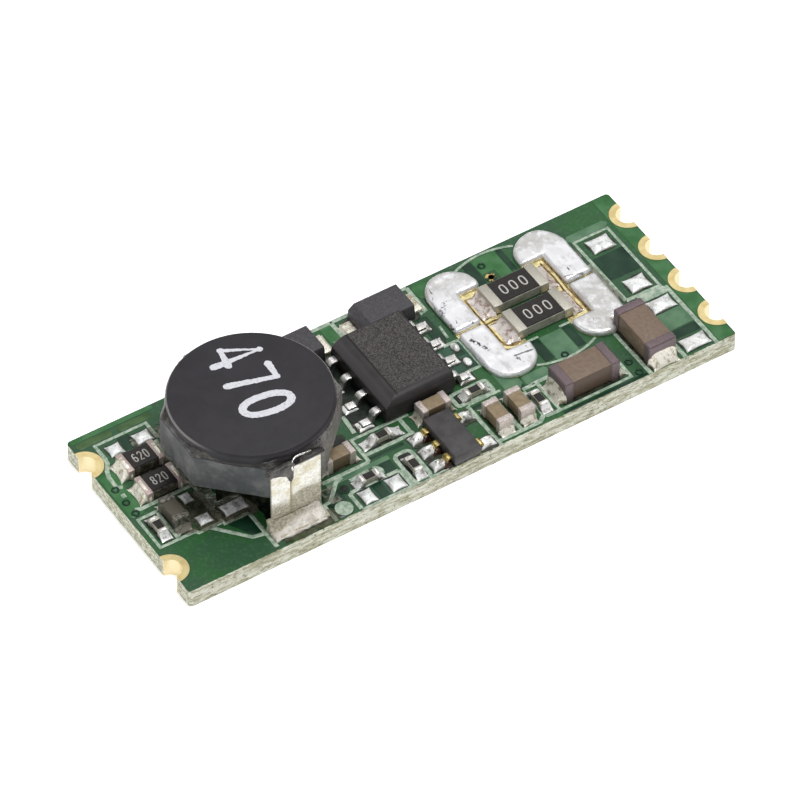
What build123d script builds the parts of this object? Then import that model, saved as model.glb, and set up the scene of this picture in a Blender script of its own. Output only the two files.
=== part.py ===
from build123d import *
import os

# An open LED driver module: a narrow circuit board with castellated ends, a shielded power
# inductor on bent terminals, a driver IC, an amplifier, two diodes and the chips around them.
# Millimetres. X runs along the board, Y across it, Z up. The origin is the middle of the
# board's underside.

# Circuit board
board_length = 30.4
board_width = 11.1
board_thickness = 1.0
board_corner_radius = 0.2

# What stands near an end of the board is placed from that end
input_end = -board_length / 2
output_end = board_length / 2

# Castellated edge pads: half-round notches, plated through, with a ring on both faces
edge_pad_pitch = 2.54
input_pad_count = 2
input_pad_pitch = 3 * edge_pad_pitch
output_pad_count = 4
notch_radius = 0.62
plating_thickness = 0.05
edge_ring_width = 0.28
foil_thickness = 0.035

# Open vias beside the inductor and between the link lands
via_hole_radius = 0.2
via_ring_width = 0.08
input_via_x = output_end - 21.0
input_via_y = -3.92
output_via_x = output_end - 7.8
output_via_y = 3.84
via_places = [(input_via_x, input_via_y), (output_via_x, output_via_y)]

# Solder under the chips and around their ends
solder_film = 0.04
solder_margin = 0.06
solder_slope = 32
board_top = board_thickness
chip_seat = board_top + solder_film

# Shielded power inductor, standing on two bent terminals
inductor_x = -8.42
inductor_y = -0.05
inductor_height = 4.56
drum_diameter = 7.95
drum_thickness = 0.54
drum_edge = 0.1
stem_diameter = 3.6
lower_flange_diameter = 6.5
lower_flange_thickness = 0.7
lower_flange_height = 1.3
winding_gap = 0.15
winding_diameter = 6.3
shield_across_flats = 8.14
shield_side = 2.95
shield_bore = 7.24
shield_height = 1.92
resin_gap = 0.1
resin_width = 0.26
resin_setback = 0.05
terminal_width = 2.7
terminal_shift = -0.17
terminal_thickness = 0.15
terminal_bend = 0.22
terminal_step_width = 1.15
terminal_clearance = 0.28
terminal_step_drop = 0.12
terminal_foot_reach = 0.85
inductor_pad_shift = -0.37
inductor_pad_reach = 1.03
inductor_pad_width = 2.83
inductor_solder_height = 0.75
inductor_solder_lip = 0.12

# Driver IC: moulded body with a wide bevel along its first side, four gull-wing leads a side
driver_from_end = 15.25
driver_x = output_end - driver_from_end
driver_y = 0.88
driver_length = 4.9
driver_width = 3.9
driver_height = 1.5
driver_standoff = 0.12
driver_parting_height = 0.64
driver_span = 6.0
driver_bevel_width = 0.4
driver_bevel_depth = 0.42
driver_lead_pitch = 1.27
driver_lead_count = 4
driver_lead_width = 0.42
driver_lead_thickness = 0.2
driver_foot_length = 0.55
driver_lead_bend = 0.16
driver_lead_root = 0.36
mould_draft = 6

# Amplifier: small five-lead package, three leads on its left side and two on its right
amplifier_length = 2.9
amplifier_width = 1.5
amplifier_height = 0.68
amplifier_standoff = 0.06
amplifier_span = 2.8
amplifier_lead_pitch = 0.95
amplifier_lead_width = 0.38
amplifier_lead_thickness = 0.14
amplifier_foot_length = 0.36
amplifier_lead_bend = 0.08
amplifier_lead_root = 0.2

# Flat moulded diodes with a tab at each end
diode_length = 2.8
diode_width = 1.75
diode_height = 1.0
diode_standoff = 0.05
diode_bevel = 0.3
diode_tab_reach = 0.55
diode_tab_width = 1.2
diode_tab_thickness = 0.18
diode_gap = 0.12
diode_a_from_end = 18.74
diode_b_from_end = 13.7
diode_a_x = output_end - diode_a_from_end
diode_b_x = output_end - diode_b_from_end

# Chip sizes: length, width, height and the band of metal around each end
end_wall = 0.04
overcoat_margin = 0.07
overcoat_thickness = 0.05
link_length = 3.1
link_width = 1.55
link_height = 0.57
link_band = 0.5
sense_length = 2.0
sense_width = 1.25
sense_height = 0.55
sense_band = 0.33
small_resistor_length = 1.0
small_resistor_width = 0.5
small_resistor_height = 0.36
small_resistor_band = 0.24
small_capacitor_length = 1.6
small_capacitor_width = 0.8
small_capacitor_height = 0.8
small_capacitor_band = 0.34
power_capacitor_length = 3.1
power_capacitor_width = 1.55
power_capacitor_height = 1.18
power_capacitor_band = 0.5
small_capacitor_edge = 0.035
power_capacitor_edge = 0.06
chip_gap = 0.13

# Where the chips stand: x, y and turn about Z in degrees
link_gap = 0.42
link_pair_from_end = 7.45
link_pair_x = output_end - link_pair_from_end
link_pair_y = 1.4
link_offset = 0.045
link_pitch = link_width + link_gap
link_places = [
    (link_pair_x - link_offset, link_pair_y + link_pitch / 2, 0),
    (link_pair_x + link_offset, link_pair_y - link_pitch / 2, 0),
]
sense_gap = 0.43
sense_from_end = 2.26
sense_x = input_end + sense_from_end
sense_pair_y = 1.69
sense_pitch = sense_width + sense_gap
sense_places = [(sense_x, sense_pair_y + side * sense_pitch / 2, 0) for side in (1, -1)]
long_pad_resistor_place = (output_end - 17.83, -2.19, 0)
small_resistor_places = [
    (input_end + 0.84, -1.43, 90),
    long_pad_resistor_place,
    (output_end - 19.73, -4.07, 0),
    (output_end - 17.54, -4.55, 90),
    (output_end - 12.62, -2.1, 0),
    (output_end - 10.32, -4.2, 90),
]
middle_capacitor_x = driver_x + 0.33
middle_capacitor_y = driver_y - driver_length / 2 - chip_gap - small_capacitor_width / 2
small_capacitor_places = [
    (input_end + 1.8, -1.22, 90),
    (output_end - 20.4, -2.4, 0),
    (middle_capacitor_x, middle_capacitor_y, 0),
    (output_end - 12.65, -4.16, 90),
    (output_end - 11.39, -4.11, 90),
]
power_capacitor_a_from_end = 7.8
power_capacitor_a_y = -4.17
power_capacitor_b_from_end = 3.93
power_capacitor_b_y = -3.52
power_capacitor_places = [
    (output_end - power_capacitor_a_from_end, power_capacitor_a_y, 0),
    (output_end - power_capacitor_b_from_end, power_capacitor_b_y, 90),
]
amplifier_x = driver_x + 0.1
amplifier_gap = 0.15
amplifier_y = middle_capacitor_y - small_capacitor_width / 2 - amplifier_gap - amplifier_length / 2
diode_y = driver_y + driver_length / 2 + diode_gap + diode_width / 2

# Solder around the feet of the leads
lead_solder_reach = 0.16
lead_solder_height = 0.14

# How far the solder reaches past the ends of each kind of chip, and how high it climbs
link_fillet = 0.56
link_fillet_height = 0.36
sense_fillet = 0.42
sense_fillet_height = 0.34
small_resistor_fillet = 0.34
long_pad_resistor_fillet = 0.64
small_resistor_fillet_height = 0.2
small_capacitor_fillet = 0.3
small_capacitor_fillet_height = 0.4
power_capacitor_fillet = 0.46
power_capacitor_fillet_height = 0.6

# Link lands: two gold plated obround lands, tinned except for a frame and a spoke
land_length = 7.5
land_width = 2.64
land_solder_height = 0.2
land_frame_width = 0.34
land_frame_length = 4.45
land_spoke_width = 0.36
land_inset = 0.06
land_pad_cut = 0.95

# Tinned pads with no chip on them: x, y, size along X, size along Y
bare_pad_height = 0.14
bare_pad_slope = 30
bare_pads = [
    (input_end + 1.7, 3.93, 0.76, 0.74),
    (input_end + 3.2, 3.93, 0.88, 0.74),
    (input_end + 2.92, -0.46, 0.56, 0.68),
    (input_end + 2.94, -2.02, 0.76, 0.68),
    (input_end + 4.52, -2.1, 1.36, 0.8),
    (output_end - 20.31, -4.9, 0.7, 0.92),
    (output_end - 18.76, -4.9, 0.84, 0.92),
    (output_end - 11.75, 0.9, 0.4, 0.6),
    (output_end - 11.75, -0.2, 0.4, 0.56),
    (output_end - 2.17, 2.88, 1.26, 0.96),
    (output_end - 2.14, -0.24, 1.16, 0.96),
    (output_end - 1.94, -2.0, 1.32, 0.88),
    (output_end - 1.96, -4.87, 1.44, 0.86),
]

# Edge pad centres, worked out from the pitch, on the two short edges
input_pad_centres = [
    (input_end, (k - (input_pad_count - 1) / 2) * input_pad_pitch) for k in range(input_pad_count)
]
output_pad_centres = [
    (output_end, (k - (output_pad_count - 1) / 2) * edge_pad_pitch) for k in range(output_pad_count)
]
edge_pad_centres = input_pad_centres + output_pad_centres
edge_ring_radius = notch_radius + edge_ring_width


def lay_rectangles(places, length, width, shift=0.0):
    """Draw one rectangle at each chip's place, moved by shift along the chip's own length."""
    for x, y, turn in places:
        with Locations(Location((x, y, 0), (0, 0, turn))):
            with Locations((shift, 0)):
                Rectangle(length, width)


def lay_end_rectangles(places, length, width, band):
    """Draw a rectangle over both ends of each chip."""
    for end in (-1, 1):
        lay_rectangles(places, band, width, end * (length - band) / 2)


def chip_core(places, length, width, height):
    """Build the ceramic that the end caps wrap, in the active part."""
    with BuildSketch(Plane.XY.offset(chip_seat + end_wall)) as core:
        lay_rectangles(places, length - 2 * end_wall, width - 2 * end_wall)
    extrude(core.sketch, amount=height - 2 * end_wall)


def chip_end_caps(places, length, width, height, band, edge=0.0):
    """Build the metal caps, five-sided pockets over both ends of each chip."""
    with BuildSketch(Plane.XY.offset(chip_seat)) as ends:
        lay_end_rectangles(places, length, width, band)
    extrude(ends.sketch, amount=height)
    if edge > 0:
        chamfer(edges().filter_by(Axis.Z), length=edge)
        chamfer(edges().group_by(Axis.Z)[-1], length=edge)
    with BuildSketch(Plane.XY.offset(chip_seat + end_wall)) as core:
        lay_rectangles(places, length - 2 * end_wall, width - 2 * end_wall)
    extrude(core.sketch, amount=height - 2 * end_wall, mode=Mode.SUBTRACT)


def chip_overcoat(places, length, width, height, band):
    """Build the dark glass that covers a resistor's face between its end caps."""
    with BuildSketch(Plane.XY.offset(chip_seat + height - end_wall)) as face:
        lay_rectangles(places, length - 2 * band, width - 2 * overcoat_margin)
    extrude(face.sketch, amount=overcoat_thickness)


def chip_solder(places, length, width, height, band, fillet_length, fillet_height):
    """Build the solder under and around both ends of each chip, sloping down to its pad."""
    pad_length = band + fillet_length
    shift = (length - band + fillet_length) / 2
    with BuildSketch(Plane.XY.offset(board_top)) as pads:
        for end in (-1, 1):
            lay_rectangles(places, pad_length, width + 2 * solder_margin, end * shift)
    extrude(pads.sketch, amount=fillet_height, taper=solder_slope)
    with BuildSketch(Plane.XY.offset(chip_seat)) as outline:
        lay_rectangles(places, length, width)
    extrude(outline.sketch, amount=height, mode=Mode.SUBTRACT)


# The board is cut with the edge notches and the via holes, and with shallow pockets in its
# underside, where the edge rings and via rings lie flush
with BuildPart() as circuit_board:
    with BuildSketch():
        RectangleRounded(board_length, board_width, board_corner_radius)
        with Locations(*edge_pad_centres):
            Circle(notch_radius, mode=Mode.SUBTRACT)
        with Locations(*via_places):
            Circle(via_hole_radius, mode=Mode.SUBTRACT)
    extrude(amount=board_thickness)
    with BuildSketch():
        with Locations(*edge_pad_centres):
            Circle(edge_ring_radius)
        with Locations(*via_places):
            Circle(via_hole_radius + via_ring_width)
    extrude(amount=foil_thickness, mode=Mode.SUBTRACT)
circuit_board.part.label = "circuit_board"

# Each edge pad is a half ring on top, a plated half barrel and a half ring underneath
with BuildPart() as castellated_pads:
    with BuildSketch():
        with Locations(*edge_pad_centres):
            Circle(edge_ring_radius)
            Circle(notch_radius - plating_thickness, mode=Mode.SUBTRACT)
        Rectangle(board_length, board_width, mode=Mode.INTERSECT)
    extrude(amount=foil_thickness)
    with BuildSketch(Plane.XY.offset(board_top)):
        with Locations(*edge_pad_centres):
            Circle(edge_ring_radius)
            Circle(notch_radius - plating_thickness, mode=Mode.SUBTRACT)
        Rectangle(board_length, board_width, mode=Mode.INTERSECT)
    extrude(amount=foil_thickness)
    with BuildSketch(Plane.XY.offset(foil_thickness)):
        with Locations(*edge_pad_centres):
            Circle(notch_radius)
            Circle(notch_radius - plating_thickness, mode=Mode.SUBTRACT)
        Rectangle(board_length, board_width, mode=Mode.INTERSECT)
    extrude(amount=board_thickness - foil_thickness)
castellated_pads.part.label = "castellated_pads"

# The open vias are eyelets of plated copper with a ring on both faces
with BuildPart() as via_eyelets:
    with BuildSketch():
        with Locations(*via_places):
            Circle(via_hole_radius + via_ring_width)
    extrude(amount=foil_thickness)
    with BuildSketch(Plane.XY.offset(board_top)):
        with Locations(*via_places):
            Circle(via_hole_radius + via_ring_width)
    extrude(amount=foil_thickness)
    with BuildSketch():
        with Locations(*via_places):
            Circle(via_hole_radius)
    extrude(amount=board_thickness)
    with BuildSketch():
        with Locations(*via_places):
            Circle(via_hole_radius - plating_thickness)
    extrude(amount=board_thickness + foil_thickness, mode=Mode.SUBTRACT)
via_eyelets.part.label = "via_eyelets"

# Wound drum core: the wide top flange, a stem and a lower flange inside the shield
drum_top = board_top + inductor_height
drum_under = drum_top - drum_thickness
flange_bottom = board_top + lower_flange_height
flange_top = flange_bottom + lower_flange_thickness
with BuildPart() as inductor_core:
    with BuildSketch(Plane.XZ.offset(-inductor_y)):
        with BuildLine():
            Polyline(
                (inductor_x, flange_bottom),
                (inductor_x + lower_flange_diameter / 2, flange_bottom),
                (inductor_x + lower_flange_diameter / 2, flange_top),
                (inductor_x + stem_diameter / 2, flange_top),
                (inductor_x + stem_diameter / 2, drum_under),
                (inductor_x + drum_diameter / 2, drum_under),
                (inductor_x + drum_diameter / 2, drum_top),
                (inductor_x, drum_top),
                close=True,
            )
        make_face()
    revolve(axis=Axis((inductor_x, inductor_y, 0), (0, 0, 1)))
    chamfer(edges().group_by(Axis.Z)[-1], length=drum_edge)
inductor_core.part.label = "inductor_core"

# Enamelled copper winding, a closed ring around the stem between the flanges
with BuildPart() as inductor_winding:
    with BuildSketch(Plane.XY.offset(flange_top)):
        with Locations((inductor_x, inductor_y)):
            Circle(winding_diameter / 2)
            Circle(stem_diameter / 2, mode=Mode.SUBTRACT)
    extrude(amount=drum_under - winding_gap - flange_top)
inductor_winding.part.label = "inductor_winding"

# Octagonal ferrite shield with a round bore, raised clear of the board
shield_top = drum_under - resin_gap
shield_corner_cut = (shield_across_flats - shield_side) / 2
with BuildPart() as inductor_shield:
    with BuildSketch(Plane.XY.offset(shield_top - shield_height)) as shield_outline:
        with Locations((inductor_x, inductor_y)):
            Rectangle(shield_across_flats, shield_across_flats)
        chamfer(shield_outline.vertices(), length=shield_corner_cut)
        with Locations((inductor_x, inductor_y)):
            Circle(shield_bore / 2, mode=Mode.SUBTRACT)
    extrude(amount=shield_height)
inductor_shield.part.label = "inductor_shield"

# Resin that bonds the top flange to the shield
resin_outer = drum_diameter / 2 - resin_setback
with BuildPart() as inductor_resin:
    with BuildSketch(Plane.XY.offset(shield_top)):
        with Locations((inductor_x, inductor_y)):
            Circle(resin_outer)
            Circle(resin_outer - resin_width, mode=Mode.SUBTRACT)
    extrude(amount=resin_gap)
inductor_resin.part.label = "inductor_resin"

# Terminals: tinned strips up the front and back faces of the shield. Each has a foot bent
# outwards on its pad, and its upper edge steps down at one side.
shield_face = shield_across_flats / 2
front_face_y = inductor_y - shield_face
terminal_top = shield_top - terminal_clearance
terminal_side = inductor_x + terminal_shift - terminal_width / 2
with BuildPart() as inductor_terminals:
    with BuildSketch(Plane.YZ.offset(terminal_side)):
        with BuildLine():
            strip_middle_y = front_face_y - terminal_thickness / 2
            strip_middle_z = chip_seat + terminal_thickness / 2
            FilletPolyline(
                (strip_middle_y - terminal_foot_reach, strip_middle_z),
                (strip_middle_y, strip_middle_z),
                (strip_middle_y, terminal_top),
                radius=terminal_bend,
            )
        trace(line_width=terminal_thickness)
    extrude(amount=terminal_width)
    with BuildSketch(Plane.YZ.offset(terminal_side)):
        with Locations((front_face_y, terminal_top)):
            Rectangle(3 * terminal_thickness, 2 * terminal_step_drop)
    extrude(amount=terminal_step_width, mode=Mode.SUBTRACT)
    mirror(about=Plane.XZ.offset(-inductor_y))
inductor_terminals.part.label = "inductor_terminals"

# Solder over the feet, sloping from the bend of each terminal to the edge of its pad
with BuildPart() as inductor_solder:
    with BuildSketch(Plane.YZ.offset(inductor_x + inductor_pad_shift - inductor_pad_width / 2)):
        with BuildLine():
            Polyline(
                (front_face_y, board_top),
                (front_face_y - inductor_pad_reach, board_top),
                (front_face_y - inductor_pad_reach, board_top + inductor_solder_lip),
                (front_face_y - terminal_thickness - terminal_bend, board_top + inductor_solder_height / 2),
                (front_face_y - terminal_thickness, board_top + inductor_solder_height),
                (front_face_y, board_top + inductor_solder_height),
                close=True,
            )
        make_face()
    extrude(amount=inductor_pad_width)
    mirror(about=Plane.XZ.offset(-inductor_y))
    add(inductor_terminals.part, mode=Mode.SUBTRACT)
inductor_solder.part.label = "inductor_solder"

# Driver IC body: two drafted halves that meet where the leads come out
driver_seat = board_top + driver_standoff
driver_parting = board_top + driver_parting_height
driver_top = board_top + driver_height
with BuildPart() as driver_body:
    with BuildSketch(Plane.XY.offset(driver_parting)):
        with Locations((driver_x, driver_y)):
            Rectangle(driver_width, driver_length)
    extrude(amount=driver_top - driver_parting, taper=mould_draft)
    extrude(faces().sort_by(Axis.Z)[0], amount=driver_parting - driver_seat, taper=mould_draft)
    bevel_edge = edges().group_by(Axis.Z)[-1].sort_by(Axis.X)[0]
    bevel_face = faces().sort_by(Axis.Z)[-1]
    chamfer(bevel_edge, length=driver_bevel_width, length2=driver_bevel_depth, reference=bevel_face)
driver_body.part.label = "driver_body"

# Gull-wing leads, bent down from the parting line to a flat foot
driver_edge = driver_width / 2
driver_shoulder = driver_edge + driver_lead_root
driver_foot_z = chip_seat + driver_lead_thickness / 2
with BuildPart() as driver_leads:
    for k in range(driver_lead_count):
        lead_y = driver_y + (k - (driver_lead_count - 1) / 2) * driver_lead_pitch
        with BuildSketch(Plane.XZ.offset(-lead_y)):
            with BuildLine():
                FilletPolyline(
                    (driver_x + driver_edge, driver_parting),
                    (driver_x + driver_shoulder, driver_parting),
                    (driver_x + driver_span / 2 - driver_foot_length, driver_foot_z),
                    (driver_x + driver_span / 2, driver_foot_z),
                    radius=driver_lead_bend,
                )
            trace(line_width=driver_lead_thickness)
        extrude(amount=driver_lead_width / 2, both=True)
    mirror(about=Plane.YZ.offset(driver_x))
driver_leads.part.label = "driver_leads"

# Solder around each foot of the driver IC
driver_pad_length = driver_foot_length + 2 * lead_solder_reach
with BuildPart() as driver_solder:
    with BuildSketch(Plane.XY.offset(board_top)):
        for side in (-1, 1):
            for k in range(driver_lead_count):
                lead_y = driver_y + (k - (driver_lead_count - 1) / 2) * driver_lead_pitch
                with Locations((driver_x + side * (driver_span / 2 - driver_foot_length / 3), lead_y)):
                    Rectangle(driver_pad_length, driver_lead_width + 4 * solder_margin)
    extrude(amount=lead_solder_height, taper=solder_slope)
    add(driver_leads.part, mode=Mode.SUBTRACT)
driver_solder.part.label = "driver_solder"

# Amplifier body: two drafted halves about the parting line
amplifier_seat = board_top + amplifier_standoff
amplifier_parting = board_top + (amplifier_standoff + amplifier_height) / 2
with BuildPart() as amplifier_body:
    with BuildSketch(Plane.XY.offset(amplifier_parting)):
        with Locations((amplifier_x, amplifier_y)):
            Rectangle(amplifier_width, amplifier_length)
    extrude(amount=board_top + amplifier_height - amplifier_parting, taper=mould_draft)
    extrude(faces().sort_by(Axis.Z)[0], amount=amplifier_parting - amplifier_seat, taper=mould_draft)
amplifier_body.part.label = "amplifier_body"

# Amplifier leads: three to the left at every pitch, two to the right at the outer pitches
amplifier_edge = amplifier_width / 2
amplifier_foot_z = chip_seat + amplifier_lead_thickness / 2
amplifier_lead_rows = [(-1, -1), (-1, 0), (-1, 1), (1, -1), (1, 1)]
with BuildPart() as amplifier_leads:
    for side, row in amplifier_lead_rows:
        lead_y = amplifier_y + row * amplifier_lead_pitch
        with BuildSketch(Plane.XZ.offset(-lead_y)):
            with BuildLine():
                FilletPolyline(
                    (amplifier_x + side * amplifier_edge, amplifier_parting),
                    (amplifier_x + side * (amplifier_edge + amplifier_lead_root), amplifier_parting),
                    (amplifier_x + side * (amplifier_span / 2 - amplifier_foot_length), amplifier_foot_z),
                    (amplifier_x + side * amplifier_span / 2, amplifier_foot_z),
                    radius=amplifier_lead_bend,
                )
            trace(line_width=amplifier_lead_thickness)
        extrude(amount=amplifier_lead_width / 2, both=True)
amplifier_leads.part.label = "amplifier_leads"

# Solder around each foot of the amplifier
amplifier_pad_length = amplifier_foot_length + 2 * lead_solder_reach
with BuildPart() as amplifier_solder:
    with BuildSketch(Plane.XY.offset(board_top)):
        for side, row in amplifier_lead_rows:
            foot_x = amplifier_x + side * (amplifier_span / 2 - amplifier_foot_length / 4)
            with Locations((foot_x, amplifier_y + row * amplifier_lead_pitch)):
                Rectangle(amplifier_pad_length, amplifier_lead_width + 4 * solder_margin)
    extrude(amount=lead_solder_height, taper=solder_slope)
    add(amplifier_leads.part, mode=Mode.SUBTRACT)
amplifier_solder.part.label = "amplifier_solder"

# Diode bodies: flat blocks whose cathode end is bevelled
diode_places = [(diode_a_x, diode_y), (diode_b_x, diode_y)]
diode_seat = board_top + diode_standoff
with BuildPart() as diode_bodies:
    with BuildSketch(Plane.XY.offset(diode_seat)):
        with Locations(*diode_places):
            Rectangle(diode_length, diode_width)
    extrude(amount=diode_height - diode_standoff, taper=mould_draft / 2)
    for x, y in diode_places:
        own_faces = faces().filter_by_position(Axis.X, x - diode_length / 2, x + diode_length / 2)
        top_face = own_faces.sort_by(Axis.Z)[-1]
        chamfer(top_face.edges().sort_by(Axis.X)[0], length=diode_bevel)
diode_bodies.part.label = "diode_bodies"

# Flat tabs that come out of both ends of each diode, low on its sides
with BuildPart() as diode_tabs:
    with BuildSketch(Plane.XY.offset(chip_seat)):
        for x, y in diode_places:
            for side in (-1, 1):
                with Locations((x + side * (diode_length + diode_tab_reach) / 2, y)):
                    Rectangle(diode_tab_reach, diode_tab_width)
    extrude(amount=diode_tab_thickness)
diode_tabs.part.label = "diode_tabs"

# Solder around the diode tabs
diode_solder_x = (diode_length + diode_tab_reach) / 2 + lead_solder_reach
with BuildPart() as diode_solder:
    with BuildSketch(Plane.XY.offset(board_top)):
        for x, y in diode_places:
            for side in (-1, 1):
                with Locations((x + side * diode_solder_x, y)):
                    Rectangle(diode_tab_reach, diode_tab_width + 4 * solder_margin)
    extrude(amount=chip_seat + diode_tab_thickness - board_top, taper=solder_slope)
    add(diode_tabs.part, mode=Mode.SUBTRACT)
    add(diode_bodies.part, mode=Mode.SUBTRACT)
diode_solder.part.label = "diode_solder"

# Two zero-ohm links side by side
link_size = (link_length, link_width, link_height)
with BuildPart() as link_ceramics:
    chip_core(link_places, *link_size)
link_ceramics.part.label = "link_ceramics"
with BuildPart() as link_end_caps:
    chip_end_caps(link_places, *link_size, link_band)
link_end_caps.part.label = "link_end_caps"
with BuildPart() as link_overcoats:
    chip_overcoat(link_places, *link_size, link_band)
link_overcoats.part.label = "link_overcoats"
with BuildPart() as link_solder:
    chip_solder(link_places, *link_size, link_band, link_fillet, link_fillet_height)
link_solder.part.label = "link_solder"

# Two current sense resistors side by side
sense_size = (sense_length, sense_width, sense_height)
with BuildPart() as sense_ceramics:
    chip_core(sense_places, *sense_size)
sense_ceramics.part.label = "sense_ceramics"
with BuildPart() as sense_end_caps:
    chip_end_caps(sense_places, *sense_size, sense_band)
sense_end_caps.part.label = "sense_end_caps"
with BuildPart() as sense_overcoats:
    chip_overcoat(sense_places, *sense_size, sense_band)
sense_overcoats.part.label = "sense_overcoats"
with BuildPart() as sense_solder:
    chip_solder(sense_places, *sense_size, sense_band, sense_fillet, sense_fillet_height)
sense_solder.part.label = "sense_solder"

# Six small resistors
small_resistor_size = (small_resistor_length, small_resistor_width, small_resistor_height)
with BuildPart() as small_resistor_ceramics:
    chip_core(small_resistor_places, *small_resistor_size)
small_resistor_ceramics.part.label = "small_resistor_ceramics"
with BuildPart() as small_resistor_end_caps:
    chip_end_caps(small_resistor_places, *small_resistor_size, small_resistor_band)
small_resistor_end_caps.part.label = "small_resistor_end_caps"
with BuildPart() as small_resistor_overcoats:
    chip_overcoat(small_resistor_places, *small_resistor_size, small_resistor_band)
small_resistor_overcoats.part.label = "small_resistor_overcoats"
with BuildPart() as small_resistor_solder:
    chip_solder(
        [place for place in small_resistor_places if place != long_pad_resistor_place],
        *small_resistor_size, small_resistor_band, small_resistor_fillet, small_resistor_fillet_height,
    )
    chip_solder(
        [long_pad_resistor_place],
        *small_resistor_size, small_resistor_band, long_pad_resistor_fillet, small_resistor_fillet_height,
    )
small_resistor_solder.part.label = "small_resistor_solder"

# Five small ceramic capacitors
small_capacitor_size = (small_capacitor_length, small_capacitor_width, small_capacitor_height)
with BuildPart() as small_capacitor_bodies:
    chip_core(small_capacitor_places, *small_capacitor_size)
small_capacitor_bodies.part.label = "small_capacitor_bodies"
with BuildPart() as small_capacitor_end_caps:
    chip_end_caps(small_capacitor_places, *small_capacitor_size, small_capacitor_band, small_capacitor_edge)
small_capacitor_end_caps.part.label = "small_capacitor_end_caps"
with BuildPart() as small_capacitor_solder:
    chip_solder(
        small_capacitor_places, *small_capacitor_size, small_capacitor_band,
        small_capacitor_fillet, small_capacitor_fillet_height,
    )
small_capacitor_solder.part.label = "small_capacitor_solder"

# Two large ceramic capacitors
power_capacitor_size = (power_capacitor_length, power_capacitor_width, power_capacitor_height)
with BuildPart() as power_capacitor_bodies:
    chip_core(power_capacitor_places, *power_capacitor_size)
power_capacitor_bodies.part.label = "power_capacitor_bodies"
with BuildPart() as power_capacitor_end_caps:
    chip_end_caps(power_capacitor_places, *power_capacitor_size, power_capacitor_band, power_capacitor_edge)
power_capacitor_end_caps.part.label = "power_capacitor_end_caps"
with BuildPart() as power_capacitor_solder:
    chip_solder(
        power_capacitor_places, *power_capacitor_size, power_capacitor_band,
        power_capacitor_fillet, power_capacitor_fillet_height,
    )
power_capacitor_solder.part.label = "power_capacitor_solder"

# Gold plated obround lands on both sides of the links, cut out for the links' own pads
link_end_x = (link_length + 2 * link_fillet) / 2 + link_offset
land_x = link_end_x - land_pad_cut + land_width / 2
land_centres = [(link_pair_x + side * land_x, link_pair_y) for side in (-1, 1)]
with BuildPart() as link_lands:
    with BuildSketch(Plane.XY.offset(board_top)):
        with Locations(*land_centres):
            SlotOverall(land_length, land_width, rotation=90)
    extrude(amount=foil_thickness)
    add(link_solder.part, mode=Mode.SUBTRACT)
    add(power_capacitor_solder.part, mode=Mode.SUBTRACT)
link_lands.part.label = "link_lands"

# Thick solder on the lands, left off a frame around the links' pads and a spoke to each side
with BuildPart() as land_solder:
    with BuildSketch(Plane.XY.offset(board_top + foil_thickness)):
        with Locations(*land_centres):
            SlotOverall(land_length, land_width, rotation=90)
        offset(amount=-land_inset, kind=Kind.INTERSECTION)
        with Locations((link_pair_x, link_pair_y)):
            Rectangle(2 * (link_end_x + land_frame_width), land_frame_length, mode=Mode.SUBTRACT)
            Rectangle(2 * (land_x + land_width), land_spoke_width, mode=Mode.SUBTRACT)
    extrude(amount=land_solder_height)
    add(power_capacitor_solder.part, mode=Mode.SUBTRACT)
    with BuildSketch(Plane.XY.offset(chip_seat)):
        lay_rectangles(power_capacitor_places, power_capacitor_length, power_capacitor_width)
    extrude(amount=power_capacitor_height, mode=Mode.SUBTRACT)
land_solder.part.label = "land_solder"

# Solder domes on the pads that carry no chip
with BuildPart() as bare_pad_solder:
    with BuildSketch(Plane.XY.offset(board_top)):
        for x, y, pad_length, pad_width in bare_pads:
            with Locations((x, y)):
                Rectangle(pad_length, pad_width)
    extrude(amount=bare_pad_height, taper=bare_pad_slope)
bare_pad_solder.part.label = "bare_pad_solder"

# One file for each sub-part
pieces = [
    circuit_board, castellated_pads, via_eyelets,
    inductor_core, inductor_winding, inductor_shield, inductor_resin, inductor_terminals, inductor_solder,
    driver_body, driver_leads, driver_solder,
    amplifier_body, amplifier_leads, amplifier_solder,
    diode_bodies, diode_tabs, diode_solder,
    link_ceramics, link_end_caps, link_overcoats, link_solder, link_lands, land_solder,
    sense_ceramics, sense_end_caps, sense_overcoats, sense_solder,
    small_resistor_ceramics, small_resistor_end_caps, small_resistor_overcoats, small_resistor_solder,
    small_capacitor_bodies, small_capacitor_end_caps, small_capacitor_solder,
    power_capacitor_bodies, power_capacitor_end_caps, power_capacitor_solder,
    bare_pad_solder,
]
os.makedirs("parts", exist_ok=True)
for piece in pieces:
    export_step(piece.part, f"parts/{piece.part.label}.step")
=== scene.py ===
import math
import random

import bmesh
import bpy
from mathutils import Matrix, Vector, noise


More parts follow.
